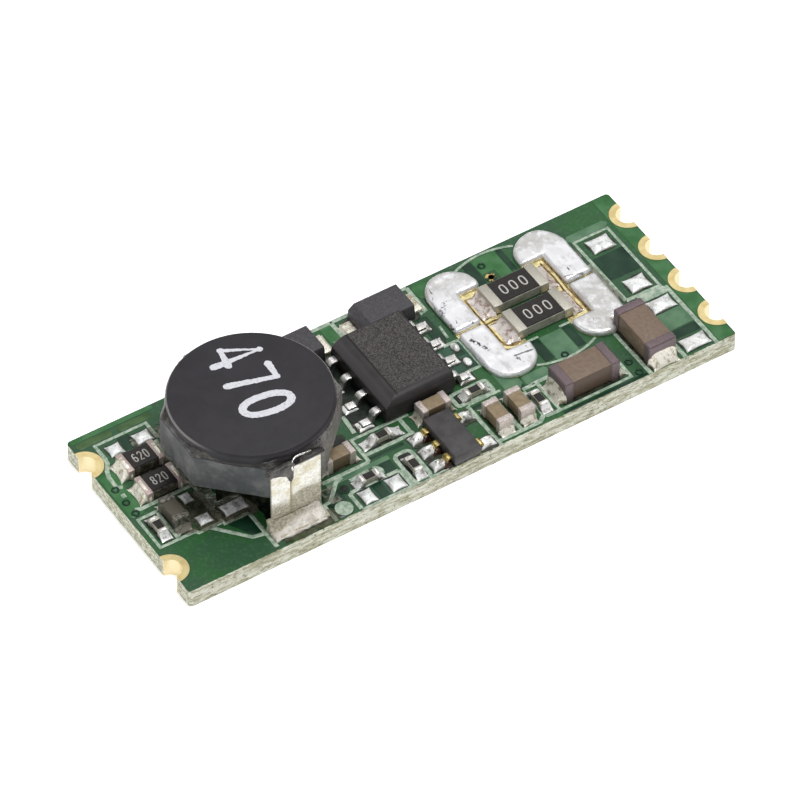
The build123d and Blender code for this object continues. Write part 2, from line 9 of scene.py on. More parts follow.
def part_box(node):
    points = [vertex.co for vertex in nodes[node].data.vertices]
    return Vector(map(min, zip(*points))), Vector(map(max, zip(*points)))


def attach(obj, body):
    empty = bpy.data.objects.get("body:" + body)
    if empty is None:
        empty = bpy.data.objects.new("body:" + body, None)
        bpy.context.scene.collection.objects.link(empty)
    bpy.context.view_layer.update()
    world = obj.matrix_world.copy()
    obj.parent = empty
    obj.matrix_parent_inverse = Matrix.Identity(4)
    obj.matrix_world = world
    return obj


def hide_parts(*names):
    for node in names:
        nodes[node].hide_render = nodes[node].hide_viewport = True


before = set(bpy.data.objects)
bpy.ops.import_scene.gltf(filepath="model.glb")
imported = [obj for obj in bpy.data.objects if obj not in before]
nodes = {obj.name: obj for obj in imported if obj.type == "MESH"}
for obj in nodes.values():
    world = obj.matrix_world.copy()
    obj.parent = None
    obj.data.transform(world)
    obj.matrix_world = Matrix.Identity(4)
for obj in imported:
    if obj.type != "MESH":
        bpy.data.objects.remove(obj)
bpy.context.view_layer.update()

# Stage
# The module lies on a plain white table in soft studio light: a wide lamp behind and above it,
# a weaker one in front, and an even pale surround. The camera looks down from the front left.
mm = 0.001
board_low, board_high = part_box("circuit_board")
board_top = board_high.z

camera_azimuth = math.radians(-32.552)
camera_elevation = math.radians(47.157)
camera_distance = 352.54 * mm
camera_target = Vector((-0.552 * mm, -0.540 * mm, board_top))
camera_focal_pixels = 7500
photo_side_pixels = 800
sensor_width = 36.0
near_clip = 0.02
far_clip = 5.0


def direction(azimuth, elevation):
    """The unit vector from the object towards a viewer at that azimuth and elevation."""
    return Vector((
        math.sin(azimuth) * math.cos(elevation),
        -math.cos(azimuth) * math.cos(elevation),
        math.sin(elevation),
    ))


camera_data = bpy.data.cameras.new("camera")
camera_data.sensor_width = sensor_width
camera_data.lens = camera_focal_pixels / photo_side_pixels * sensor_width
camera_data.clip_start = near_clip
camera_data.clip_end = far_clip
camera = bpy.data.objects.new("camera", camera_data)
bpy.context.scene.collection.objects.link(camera)
towards_camera = direction(camera_azimuth, camera_elevation)
camera.location = camera_target + camera_distance * towards_camera
camera.rotation_mode = "QUATERNION"
camera.rotation_quaternion = (-towards_camera).to_track_quat("-Z", "Y")
bpy.context.scene.camera = camera


def soft_lamp(name, azimuth, elevation, distance, width, height, power):
    """A rectangular soft lamp that faces the middle of the module."""
    data = bpy.data.lights.new(name, "AREA")
    data.shape = "RECTANGLE"
    data.size = width
    data.size_y = height
    data.energy = power
    lamp = bpy.data.objects.new(name, data)
    bpy.context.scene.collection.objects.link(lamp)
    facing = direction(math.radians(azimuth), math.radians(elevation))
    lamp.location = camera_target + distance * facing
    lamp.rotation_mode = "QUATERNION"
    lamp.rotation_quaternion = (-facing).to_track_quat("-Z", "Y")


soft_lamp("back_panel", 148, 50, 0.40, 0.50, 0.36, 0.42)
soft_lamp("top_lamp", 60, 78, 0.36, 0.16, 0.16, 0.86)
soft_lamp("front_lamp", -40, 30, 0.36, 0.12, 0.12, 0.12)
soft_lamp("left_lamp", -98, 24, 0.36, 0.20, 0.12, 0.24)

surround = bpy.data.worlds.new("surround")
surround.use_nodes = True
surround.node_tree.nodes["Background"].inputs["Color"].default_value = (0.97, 0.98, 1.0, 1.0)
surround.node_tree.nodes["Background"].inputs["Strength"].default_value = 0.24
bpy.context.scene.world = surround
bpy.context.scene.view_settings.view_transform = "Standard"

floor_size = 1.6
bpy.ops.object.select_all(action="DESELECT")
bpy.ops.mesh.primitive_plane_add(size=floor_size, location=(0, 0, 0))
floor = bpy.context.object
floor.name = "floor"
floor_finish = bpy.data.materials.new("floor_white")
floor_finish.use_nodes = True
floor_shader = floor_finish.node_tree.nodes["Principled BSDF"]
floor_shader.inputs["Base Color"].default_value = (0.93, 0.93, 0.93, 1.0)
floor_shader.inputs["Roughness"].default_value = 0.9
floor_shader.inputs["Specular IOR Level"].default_value = 0.1
floor_shader.inputs["Emission Color"].default_value = (1.0, 1.0, 1.0, 1.0)
floor_shader.inputs["Emission Strength"].default_value = 0.42
floor.data.materials.append(floor_finish)


# Circuit board
# Glass laminate, sawn at its long sides and snapped at its ends, under green solder mask that
# stops short of the front edge. The copper pour under the mask shows as a lighter green.


def colour(red, green, blue):
    """A display colour, 0 to 255, as the linear colour that a shader wants."""
    return tuple((channel / 255) ** 2.2 for channel in (red, green, blue)) + (1.0,)


class Wire:
    """A shader socket on which sums, products and steps read as plain expressions."""

    def __init__(self, finish, socket):
        self.finish = finish
        self.socket = socket

    def maths(self, operation, *others):
        return self.finish.node("ShaderNodeMath", {"operation": operation}, [self, *others])

    def __add__(self, other):
        return self.maths("ADD", other)

    __radd__ = __add__

    def __mul__(self, other):
        return self.maths("MULTIPLY", other)

    __rmul__ = __mul__

    def __sub__(self, other):
        return self.maths("SUBTRACT", other)

    def __rsub__(self, other):
        return self.finish.node("ShaderNodeMath", {"operation": "SUBTRACT"}, [other, self])

    def size(self):
        return self.maths("ABSOLUTE")

    def root(self):
        return self.maths("SQRT")

    def least(self, other):
        return self.maths("MINIMUM", other)

    def most(self, other):
        return self.maths("MAXIMUM", other)

    def rise(self, low, high):
        """0 below low, 1 above high, and a smooth step between."""
        settings = {"interpolation_type": "SMOOTHSTEP"}
        sockets = {"Value": self, "From Min": low, "From Max": high}
        return self.finish.node("ShaderNodeMapRange", settings, sockets)


class Finish:
    """A material in the making: one Principled shader and the nodes that vary it over the surface."""

    def __init__(self, name, roughness=0.5, metallic=0.0, specular=0.5):
        self.material = bpy.data.materials.new(name)
        self.material.use_nodes = True
        self.tree = self.material.node_tree
        self.shader = self.tree.nodes["Principled BSDF"]
        self.shader.inputs["Roughness"].default_value = roughness
        self.shader.inputs["Metallic"].default_value = metallic
        self.shader.inputs["Specular IOR Level"].default_value = specular
        self.place = self.node("ShaderNodeTexCoord", {}, {}, "Object")

    def node(self, kind, settings, sockets, output=0):
        """Add one node: its settings first, then the values or links of its sockets."""
        made = self.tree.nodes.new(kind)
        for key, value in settings.items():
            setattr(made, key, value)
        named = sockets.items() if isinstance(sockets, dict) else enumerate(sockets)
        for key, value in named:
            if isinstance(value, Wire):
                self.tree.links.new(value.socket, made.inputs[key])
            else:
                made.inputs[key].default_value = value
        return Wire(self, made.outputs[output])

    def axis(self, letter):
        """One coordinate of the surface point, in metres."""
        return self.node("ShaderNodeSeparateXYZ", {}, [self.place], "XYZ".index(letter))

    def past(self, letter, low, high):
        """0 below low and 1 above high along one axis, in millimetres, with a smooth step between."""
        return self.axis(letter).rise(low * mm, high * mm)

    def facing(self, letter):
        """One component of the surface normal."""
        normal = self.node("ShaderNodeNewGeometry", {}, {}, "Normal")
        return self.node("ShaderNodeSeparateXYZ", {}, [normal], "XYZ".index(letter))

    def scaled(self, size, stretch=(1, 1, 1)):
        """The surface point in steps of size millimetres, stretched along the axes."""
        scale = [1 / (size * mm * part) for part in stretch]
        return self.node("ShaderNodeMapping", {}, {"Vector": self.place, "Scale": scale})

    def grain(self, size, detail=3.0, roughness=0.5, stretch=(1, 1, 1)):
        """Noise between 0 and 1 whose lumps are about size millimetres across."""
        where = self.scaled(size, stretch)
        sockets = {"Vector": where, "Scale": 1.0, "Detail": detail, "Roughness": roughness}
        return self.node("ShaderNodeTexNoise", {}, sockets)

    def cells(self, size):
        """Distance to the nearest of scattered points about size millimetres apart."""
        return self.node("ShaderNodeTexVoronoi", {}, {"Vector": self.scaled(size), "Scale": 1.0})

    def mix(self, first, second, share):
        """Blend two tones, each a wire or a display colour, by a wire or number from 0 to 1."""
        first, second = (tone if isinstance(tone, Wire) else colour(*tone) for tone in (first, second))
        return self.node("ShaderNodeMix", {"data_type": "RGBA"}, {0: share, 6: first, 7: second}, 2)

    def feed(self, socket, wire):
        """Let a wire drive one socket of the shader."""
        self.tree.links.new(wire.socket, self.shader.inputs[socket])

    def paint(self, first, second, share):
        """Colour the surface by a blend of two tones."""
        self.tint = self.mix(first, second, share)
        self.feed("Base Color", self.tint)

    def lay(self, tone, share):
        """Lay one more tone over the colour so far."""
        self.paint(self.tint, tone, share)

    def bump(self, height, depth):
        """Raise the surface by height times depth millimetres."""
        sockets = {"Strength": 1.0, "Distance": depth * mm, "Height": height}
        self.feed("Normal", self.node("ShaderNodeBump", {}, sockets))


def dress(node, finish):
    """Give a carried-over piece its finish."""
    piece = nodes[node]
    piece.data.materials.clear()
    piece.data.materials.append(finish.material)


board = Finish("board_laminate_mask", roughness=0.32, specular=0.3)
height_on_board = board.axis("Z")
on_top = height_on_board.rise(board_top - 0.004 * mm, board_top - 0.001 * mm)
on_bottom = 1 - height_on_board.rise(0.001 * mm, 0.004 * mm)
on_face = on_top.most(on_bottom)
mask_cloud = board.grain(2.2, 2)
mask_mottle = board.grain(0.16, 3, 0.6)
bare_green = board.mix((50, 84, 58), (46, 92, 50), mask_cloud.rise(0.4, 0.65))
bare_green = board.mix(bare_green, (84, 112, 88), mask_mottle.rise(0.48, 0.75) * 0.45)
edge_gap = board.axis("Y") + (-board_low.y) - 0.05 * mm
edge_wander = board.grain(0.5, 4, 0.7)
mask_stops = 1 - (edge_gap + (edge_wander - 0.45) * (0.2 * mm)).rise(0.0, 0.05 * mm)
glass_fleck = board.grain(0.11, 4, 0.75, (2.2, 1, 0.8))
glass_weave = board.grain(0.3, 3, 0.6, (3.0, 1, 0.5))
laminate = board.mix((220, 220, 204), (170, 168, 140), glass_weave.rise(0.4, 0.6))
laminate = board.mix(laminate, (84, 88, 66), 1 - glass_fleck.rise(0.34, 0.45))
laminate = board.mix(laminate, (250, 250, 238), glass_fleck.rise(0.56, 0.68))
faces = board.mix(bare_green, laminate, mask_stops * on_top)
board.paint(laminate, faces, on_face)
board.feed("Roughness", 0.75 - on_face * 0.4)
board.bump(glass_fleck * (1 - on_face) + board.grain(0.5, 2) * on_face * 0.2, 0.05)
dress("circuit_board", board)


# Edge pads and eyelets
# Copper plated round the sawn half holes and through the open vias, then gold plated. The upright
# faces of the eyelets are painted near black: painted shade in the holes, seen as a thin dark line.
gold = Finish("gold_plate", roughness=0.34, metallic=1.0)
gold_cloud = gold.grain(0.5, 3)
gold_flat = gold.facing("Z").rise(0.5, 0.9)
gold_face = gold.mix((230, 212, 158), (216, 194, 136), gold_cloud.rise(0.35, 0.7))
# Painted highlight: the upright faces, the walls of the half holes, are painted a paler gold than the flat
# faces.
gold.paint((231, 217, 178), gold_face, gold_flat)
gold.feed("Roughness", gold.grain(0.15, 3) * 0.2 + 0.34)
gold.bump(gold.grain(0.12, 3), 0.004)
dress("castellated_pads", gold)

eyelet = Finish("eyelet_plate", roughness=0.4, metallic=0.4)
eyelet.paint((46, 62, 40), (206, 178, 110), eyelet.grain(0.3, 2).rise(0.5, 0.6))
eyelet.lay((38, 66, 46), 1 - eyelet.past("X", -0.1, 0.1))
# Painted shade: every upright face of the eyelets is painted near black.
eyelet.lay((14, 12, 9), 1 - eyelet.facing("Z").rise(0.7, 0.9))
dress("via_eyelets", eyelet)


def two_tone(name, dark, light, grain, step, depth=0.0, **surface):
    """A finish between two tones that follow one noise, which also raises it by depth millimetres."""
    finish = Finish(name, **surface)
    finish.cloud = finish.grain(*grain)
    finish.paint(dark, light, finish.cloud.rise(*step))
    if depth:
        finish.bump(finish.cloud, depth)
    return finish


stained_gold = two_tone(
    "stained_gold_plate", (240, 226, 166), (180, 158, 112), (0.4, 4, 0.7), (0.48, 0.62), 0.03,
    roughness=0.34, metallic=0.9,
)
stained_gold.feed("Metallic", 0.9 - stained_gold.cloud.rise(0.48, 0.62) * 0.5)
dress("link_lands", stained_gold)


# Copper pour
# Foil under the solder mask: where it is left, the mask stands a little higher and looks lighter,
# and where it is etched away the bare laminate shows through darker.


def start_modelling(*pieces):
    """Leave edit mode and let go of everything but these pieces, the first of them active."""
    if bpy.context.object and bpy.context.object.mode != "OBJECT":
        bpy.ops.object.mode_set(mode="OBJECT")
    bpy.ops.object.select_all(action="DESELECT")
    for piece in pieces:
        piece.select_set(True)
    if pieces:
        bpy.context.view_layer.objects.active = pieces[0]


def put_down(piece, name, finish, replaced=(), smooth_angle=None):
    """Bring a piece modelled in millimetres into the frame, and say what it is."""
    start_modelling(piece)
    bpy.ops.object.transform_apply()
    piece.scale = (mm,) * 3
    bpy.ops.object.transform_apply()
    if smooth_angle is None:
        bpy.ops.object.shade_smooth()
    else:
        bpy.ops.object.shade_smooth_by_angle(angle=math.radians(smooth_angle))
    piece.name = name
    piece.data.name = name
    piece.data.materials.clear()
    piece.data.materials.append(finish.material)
    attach(piece, "root")
    if replaced:
        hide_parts(*replaced)
    return piece


def use_modifier(piece, kind, **settings):
    """Add a modifier, set it and apply it."""
    modifier = piece.modifiers.new(kind.lower(), kind)
    for key, value in settings.items():
        setattr(modifier, key, value)
    bpy.context.view_layer.objects.active = piece
    bpy.ops.object.modifier_apply(modifier=modifier.name)


def merge_points(face_outwards=False):
    """Weld the points of the active piece that lie together, and turn its faces outwards if asked."""
    bpy.ops.object.mode_set(mode="EDIT")
    bpy.ops.mesh.select_all(action="SELECT")
    bpy.ops.mesh.remove_doubles(threshold=merge_distance)
    if face_outwards:
        bpy.ops.mesh.normals_make_consistent(inside=False)
    bpy.ops.object.mode_set(mode="OBJECT")


def curve_to_mesh(name, curve):
    """Turn a curve into a mesh object."""
    piece = bpy.data.objects.new(name, curve)
    bpy.context.scene.collection.objects.link(piece)
    start_modelling(piece)
    bpy.ops.object.convert(target="MESH")
    return bpy.context.object


def draw_lines(name, lines, closed, **settings):
    """Draw lines from point to point in the XY plane, some of them closed, as one mesh."""
    curve = bpy.data.curves.new(name, "CURVE")
    for key, value in settings.items():
        setattr(curve, key, value)
    for index, line in enumerate(lines):
        spline = curve.splines.new("POLY")
        spline.points.add(len(line) - 1)
        for point, (x, y) in zip(spline.points, line):
            point.co = (x, y, 0, 1)
        spline.use_cyclic_u = index in closed
    return curve_to_mesh(name, curve)


def filled_outlines(name, outlines, thickness, location, rotation=(0, 0, 0)):
    """Fill outlines in the XY plane to a closed mesh with this thickness, and set it in its place."""
    everyone = range(len(outlines))
    piece = draw_lines(name, outlines, everyone, dimensions="2D", fill_mode="BOTH", extrude=thickness / 2)
    piece.location = location
    piece.rotation_euler = rotation
    bpy.ops.object.transform_apply()
    merge_points(face_outwards=True)
    return piece


def flat_patches(name, outlines, thickness, finish, rounding=0.03):
    """Lay flat patches with these outlines, in millimetres, on the board's face."""
    piece = filled_outlines(name, outlines, thickness, (0, 0, top + thickness / 2))
    if rounding:
        use_modifier(piece, "BEVEL", width=rounding, segments=2, limit_method="ANGLE", angle_limit=0.6)
    return put_down(piece, name, finish, smooth_angle=40)


def block(x0, x1, y0, y1, corner=0.12):
    """A rectangle with its corners cut by this much."""
    return [
        (x0 + corner, y0), (x1 - corner, y0), (x1, y0 + corner), (x1, y1 - corner),
        (x1 - corner, y1), (x0 + corner, y1), (x0, y1 - corner), (x0, y0 + corner),
    ]


def arc(x, y, radius, start, stop, steps=10):
    """Points along an arc, its angles in degrees."""
    angles = [math.radians(start + (stop - start) * step / steps) for step in range(steps + 1)]
    return [(x + radius * math.cos(angle), y + radius * math.sin(angle)) for angle in angles]


def mask_finish(name, dark, light):
    """Glossy solder mask in one tone."""
    mask = two_tone(name, dark, light, (0.9, 3), (0.35, 0.65), roughness=0.3, specular=0.3)
    mask.lay(light, mask.grain(0.13, 3, 0.65).rise(0.5, 0.8) * 0.5)
    mask.bump(mask.grain(0.6, 2), 0.02)
    return mask


top = board_top / mm
end_x = board_high.x / mm
side_y = board_high.y / mm
merge_distance = 0.0005
relief = 0.02
sunk_in = 0.005
bright_mask = mask_finish("mask_over_copper", (50, 100, 54), (70, 116, 74))
soft_mask = mask_finish("mask_over_ground", (76, 112, 84), (96, 130, 100))
dark_mask = mask_finish("mask_over_laminate", (20, 50, 36), (34, 64, 46))

pad_pitch = 2.54
pad_clearance = 0.92
front_margin = 0.1
back_margin = 0.08
strip_left = 14.25
strip_right = end_x - 0.05
output_strip = [
    (strip_left, side_y - back_margin), (strip_left, front_margin - side_y),
    (strip_right, front_margin - side_y),
]
for place in range(4):
    output_strip += arc(end_x, (place - 1.5) * pad_pitch, pad_clearance, 266, 94, 14)
output_strip.append((strip_right, side_y - back_margin))

bright_patches = [
    block(-end_x + 0.12, -10.6, 5.25, side_y - 0.04, 0.05),
    block(-end_x + 0.1, -14.3, -0.2, 2.85),
    block(-1.35, -0.75, 4.2, side_y - 0.05),
    block(3.75, 4.6, 4.3, side_y - 0.05, 0.3),
    [(7.8, 3.5), (8.45, 3.5), (8.45, 5.28), (7.12, 5.28), (7.12, 4.2), (7.8, 4.2)],
    output_strip,
]
flat_patches("copper_pour_edges", bright_patches, relief, bright_mask)
soft_patches = [
    block(-6.4, -2.95, -3.46, -3.18, 0.05),
    block(7.12, 8.36, -2.42, -0.72, 0.05),
    block(5.0, 6.4, -3.0, -2.35),
    block(12.62, 13.98, -3.68, -2.52, 0.05),
    block(3.95, 4.9, -3.0, -0.8, 0.3),
    block(11.7, 14.1, 3.7, 4.15, 0.2),
]
flat_patches("copper_pour_ground", soft_patches, relief, soft_mask)
dark_patches = [
    block(-13.08, -12.45, 3.6, 4.5, 0.02),
    [(-11.5, -2.9), (-10.42, -2.9), (-10.42, -4.1), (-10.85, -4.05)],
    block(-12.55, -11.75, -1.62, -0.72, 0.04),
    block(-7.05, -6.02, -5.4, -3.55, 0.2),
    block(-4.65, -4.1, -5.42, -4.4, 0.04),
    block(-3.62, -3.0, -4.16, -3.45, 0.04),
    block(-3.8, -1.9, -3.06, -2.86, 0.04),
    block(2.85, 3.42, 1.5, 3.4, 0.1),
    block(3.0, 3.7, 0.3, 0.62, 0.04),
    block(6.56, 7.08, 3.66, 5.2, 0.05),
    block(8.5, 8.8, 3.66, 5.2, 0.05),
    block(6.56, 7.08, -2.2, -0.72, 0.05),
    block(8.42, 8.86, -2.2, -0.72, 0.05),
    block(12.1, 13.82, 0.55, 2.2, 0.05),
    block(12.6, 13.98, -4.3, -3.75, 0.05),
    block(5.5, 10.2, -5.48, -5.3, 0.05),
    block(11.7, 12.0, -0.7, 1.3, 0.05),
    block(2.0, 4.9, -3.0, -2.75, 0.05),
]
flat_patches("etched_gaps", dark_patches, relief * 0.7, dark_mask)
brown_mask = mask_finish("mask_over_slots", (56, 84, 48), (74, 102, 62))
slot_patches = [block(-14.95, -13.05, 4.78, 5.2), block(-12.75, -10.9, 4.78, 5.16)]
flat_patches("mask_over_slots", slot_patches, relief * 0.9, brown_mask)
teal_mask = mask_finish("mask_over_inner_gap", (44, 76, 60), (58, 92, 74))
teal_patches = [block(2.3, 3.82, -0.68, 1.16), block(-5.2, -3.1, -5.3, -4.4), block(1.55, 2.0, -0.9, 3.2)]
flat_patches("mask_over_inner_gap", teal_patches, relief * 0.6, teal_mask)

# Tented vias
# Small plated holes that the solder mask closes when it is printed over them: each is a low ring
# with a dimple in it.
tented_vias = [
    (-14.8, 1.75), (-14.78, 0.8), (-14.75, 0.0), (9.85, -4.3), (9.92, -5.1), (7.4, 4.7), (7.58, -2.28),
]
via_rings = []
for x, y in tented_vias:
    start_modelling()
    bpy.ops.mesh.primitive_torus_add(
        major_radius=0.15, minor_radius=0.06, major_segments=24, minor_segments=8,
        location=(x, y, top + relief),
    )
    via_rings.append(bpy.context.object)


def join(pieces):
    """Make one piece of several."""
    start_modelling(*pieces)
    bpy.ops.object.join()
    return bpy.context.object


put_down(join(via_rings), "tented_vias", dark_mask)

# Silkscreen
# Pale green ink, printed through a screen over the cured mask: lines around the chips and a few
# filled patches. It is a little uneven, and greener where it is thin.
silkscreen = two_tone(
    "silkscreen_ink", (128, 150, 130), (182, 196, 178), (0.22, 4, 0.7), (0.36, 0.64), 0.01,
    roughness=0.6, specular=0.3,
)


def ink_strokes(name, strokes, width, thickness, bottom, finish, closed=()):
    """Print strokes with round edges: each stroke is a list of points in millimetres."""
    piece = draw_lines(
        name, strokes, closed, dimensions="3D", bevel_depth=width / 2, bevel_resolution=1,
        use_fill_caps=True,
    )
    piece.scale = (1, 1, thickness / width)
    piece.location.z = bottom + thickness / 2
    return put_down(piece, name, finish, smooth_angle=40)


def round_frame(x0, x1, y0, y1, radius):
    """The closed outline of a printed box with round corners."""
    corners = [(x1, y1, 0), (x0, y1, 90), (x0, y0, 180), (x1, y0, 270)]
    points = []
    for x, y, start in corners:
        inner_x = x - math.copysign(radius, x - (x0 + x1) / 2)
        inner_y = y - math.copysign(radius, y - (y0 + y1) / 2)
        points += arc(inner_x, inner_y, radius, start, start + 90, 4)
    return points + points[:1]


wide_lines = [
    [(-14.18, 3.7), (-14.18, 4.63), (-11.4, 4.63), (-11.4, 3.6)],
    [(-14.17, 3.75), (-14.24, 3.36), (-14.5, 2.98), (-14.63, 2.6), (-14.65, 1.85), (-14.4, 1.72)],
    [(-14.65, 1.35), (-14.65, 1.1)],
    [(-14.65, 0.22), (-14.4, 0.1), (-11.65, 0.12)],
    [(-11.58, 3.45), (-11.6, -2.78), (-10.3, -2.78)],
    [(-13.4, -0.42), (-14.88, -0.42), (-14.88, -2.45), (-13.0, -2.45), (-12.9, -2.6), (-11.7, -2.62)],
    [(-13.86, -0.5), (-13.86, -2.35)],
    [(-12.3, -2.62), (-10.95, -4.18), (-10.35, -4.3)],
    [(-10.3, -2.85), (-10.3, -5.3)],
    [(-7.12, -5.42), (-7.12, -4.3), (-6.75, -4.25), (-5.88, -3.35), (-5.5, -3.22)],
    [(-6.5, -3.1), (-4.0, -3.1), (-3.88, -3.0), (-3.88, -1.5), (-0.75, -1.5)],
    [(-1.25, -1.55), (-1.25, -2.62)],
    [(-3.8, -2.66), (-1.1, -2.66)],
    arc(-3.98, -3.84, 0.3, 90, -60, 5) + [(-3.7, -4.28)],
    [(-5.75, -5.4), (-5.75, -4.4), (-5.55, -4.28), (-3.1, -4.28), (-2.98, -4.4), (-2.98, -5.42)],
    [(-5.3, -3.62), (-4.2, -3.55)],
    round_frame(-2.78, -1.88, -5.42, -3.42, 0.28),
    [(1.88, -2.62), (1.9, -5.5)],
    round_frame(1.52, 3.5, -2.42, -1.62, 0.12),
    [(3.2, -2.72), (3.22, -5.2)],
    [(4.62, -3.25), (4.62, -4.95), (4.75, -5.12), (5.4, -5.14)],
    [(1.95, -5.25), (4.25, -5.27), (4.58, -5.0)],
    [(4.66, -3.1), (5.35, -3.1)],
    [(5.45, -3.1), (5.45, -5.15), (9.45, -5.15), (9.45, -3.0)],
    [(5.2, -3.05), (6.2, -3.05)],
    [(10.33, -2.0), (10.35, -5.5)],
    [(12.3, -4.4), (12.32, -5.5)],
    [(14.1, -1.1), (14.1, -5.5)],
    [(11.97, -0.92), (13.9, -0.92), (13.9, 3.6), (11.97, 3.6), (11.97, -0.92)],
    [(11.75, 2.0), (11.73, 0.1)],
    [(2.95, -0.74), (3.87, -0.74), (3.87, 1.22), (3.0, 1.24)],
    [(-0.65, 5.45), (-0.64, 4.2)],
    [(3.6, 5.4), (3.6, 3.7), (3.1, 3.6)],
    [(-1.8, 5.43), (3.6, 5.43)],
    [(-3.4, 0.0), (-3.5, -1.2)],
]
thin_lines = [
    [(-5.75, -5.45), (-1.0, -5.45)],
    arc(7.75, 1.45, 3.95, 115, 65, 14),
    arc(7.75, 1.45, 3.95, 245, 295, 14),
    [(3.58, 2.45), (3.5, 1.6)],
    [(6.55, -0.62), (7.15, -0.62)],
    [(8.35, -0.62), (8.95, -0.62)],
]
ink_height = 0.045
ink_strokes("silkscreen_lines", wide_lines, 0.22, ink_height, top, silkscreen)
ink_strokes("silkscreen_fine_lines", thin_lines, 0.14, ink_height, top, silkscreen)
ink_patches = [
    block(12.5, 14.0, -1.48, -1.02, 0.04),
    block(1.95, 3.75, -2.64, -2.5, 0.04),
    arc(-6.43, -4.93, 0.44, 0, 345, 23),
]
flat_patches("silkscreen_patches", ink_patches, 0.03, silkscreen, rounding=0)

# Flux and painted shade
# Residue of the soldering flux, which ran out of the joints and dried around them on the mask as a
# dark crust with dirt in it. The same dark patches also stand for shade at the feet of the chips.
flux = two_tone(
    "flux_residue_and_shade", (28, 30, 25), (66, 70, 56), (0.3, 4, 0.65), (0.35, 0.65), 0.02,
    roughness=0.35, specular=0.4,
)
flux.feed("Roughness", flux.cloud * 0.4 + 0.2)


def islands(node):
    """The lowest and highest corner, in millimetres, of each separate solid of a node."""
    mesh = bmesh.new()
    mesh.from_mesh(nodes[node].data)
    bmesh.ops.remove_doubles(mesh, verts=mesh.verts, dist=1e-6)
    waiting = set(mesh.verts)
    boxes = []
    while waiting:
        found = [waiting.pop()]
        for vertex in found:
            for edge in vertex.link_edges:
                other = edge.other_vert(vertex)
                if other in waiting:
                    waiting.remove(other)
                    found.append(other)
        boxes.append(tuple(
            Vector([pick(vertex.co[axis] for vertex in found) / mm for axis in range(3)])
            for pick in (min, max)
        ))
    mesh.free()
    return sorted(boxes, key=lambda box: (round(box[0].x, 2), round(box[0].y, 2)))


def wavy_block(x0, x1, y0, y1, seed, wander=0.05):
    """A rectangle whose outline wanders, as a dried edge does."""
    random.seed(seed)
    corners = [(x0, y0), (x1, y0), (x1, y1), (x0, y1)]
    points = []
    for (ax, ay), (bx, by) in zip(corners, corners[1:] + corners[:1]):
        for share in (0.08, 0.3, 0.5, 0.7, 0.92):
            points.append((
                ax + (bx - ax) * share + random.uniform(-wander, wander),
                ay + (by - ay) * share + random.uniform(-wander, wander),
            ))
    return points


def flux_and_shade_outlines(node, margin):
    """One wavy outline around each solder joint of a node."""
    outlines = []
    for number, (low, high) in enumerate(islands(node)):
        along, across = margin
        if high.y - low.y > high.x - low.x:
            along, across = across, along
        outlines.append(wavy_block(low.x - along, high.x + along, low.y - across, high.y + across, number))
    return outlines


flux_and_shade_margins = {
    "sense_ceramics": (0.1, 0.1), "small_resistor_overcoats": (0.62, 0.16), "bare_pad_solder": (0.03, 0.03),
    "driver_solder": (0.06, 0.06), "amplifier_solder": (0.1, 0.14), "small_capacitor_bodies": (0.3, 0.08),
    "power_capacitor_bodies": (0.35, 0.12), "diode_bodies": (0.3, 0.06),
}
# Partly flux, partly painted shade: a dark rim around the foot of each chip and joint.
for number, (node, margin) in enumerate(flux_and_shade_margins.items()):
    height = relief + 0.003 * (number + 1)
    flat_patches(f"flux_and_shade_on_{node}", flux_and_shade_outlines(node, margin), height, flux, rounding=0)

# Flux dirt in the shadow of the shield, darkened also as painted shadow.
under_shield = [
    (-11.2, -1.38), (-10.8, -0.6), (-9.6, -0.6), (-9.1, -1.6), (-9.08, -2.66), (-9.74, -2.66), (-9.9, -2.2),
    (-10.1, -1.52), (-10.6, -1.38),
]
flat_patches("flux_and_shade_under_shield", [under_shield], relief + 0.032, flux, rounding=0)

# Thin flux film
# Where the board was washed badly, a thin grey or brown film of residue lies between the joints
# and lets the mask show through.
film = two_tone(
    "flux_film", (104, 106, 92), (146, 146, 132), (0.5, 4, 0.7), (0.4, 0.65), roughness=0.5, specular=0.3,
)
film.feed("Alpha", film.grain(0.5, 3, 0.6).rise(0.36, 0.6) * 0.7)
film_patches = [
    wavy_block(-11.75, -11.0, -2.5, 3.4, 71, 0.1),
    wavy_block(-13.2, -12.7, -2.4, -0.4, 72, 0.08),
    wavy_block(-12.6, -10.6, 3.5, 4.2, 73, 0.1),
    wavy_block(-11.4, -9.7, -2.75, -1.45, 74, 0.12),
    wavy_block(-6.9, -6.2, -4.5, -3.4, 75, 0.1),
    wavy_block(10.2, 11.9, -2.4, 3.8, 79, 0.14),
]
flat_patches("flux_film_patches", film_patches, relief + 0.026, film, rounding=0)

brown_film = two_tone(
    "brown_flux_film", (70, 68, 52), (126, 122, 104), (0.35, 4, 0.7), (0.36, 0.66),
    roughness=0.45, specular=0.3,
)
brown_film.feed("Alpha", brown_film.grain(0.6, 3, 0.6).rise(0.26, 0.5) * 0.45)
brown_patches = [
    wavy_block(-12.78, -11.5, -2.7, -0.3, 81, 0.08),
    wavy_block(-11.48, -9.7, -2.92, -0.9, 82, 0.08),
    wavy_block(-13.5, -12.9, -2.5, -2.1, 83, 0.04),
    wavy_block(-9.85, -6.9, -5.44, -4.6, 84, 0.06),
    wavy_block(-12.9, -12.7, -0.4, 3.4, 85, 0.04),
]
flat_patches("brown_film_patches", brown_patches, relief + 0.03, brown_film, rounding=0)
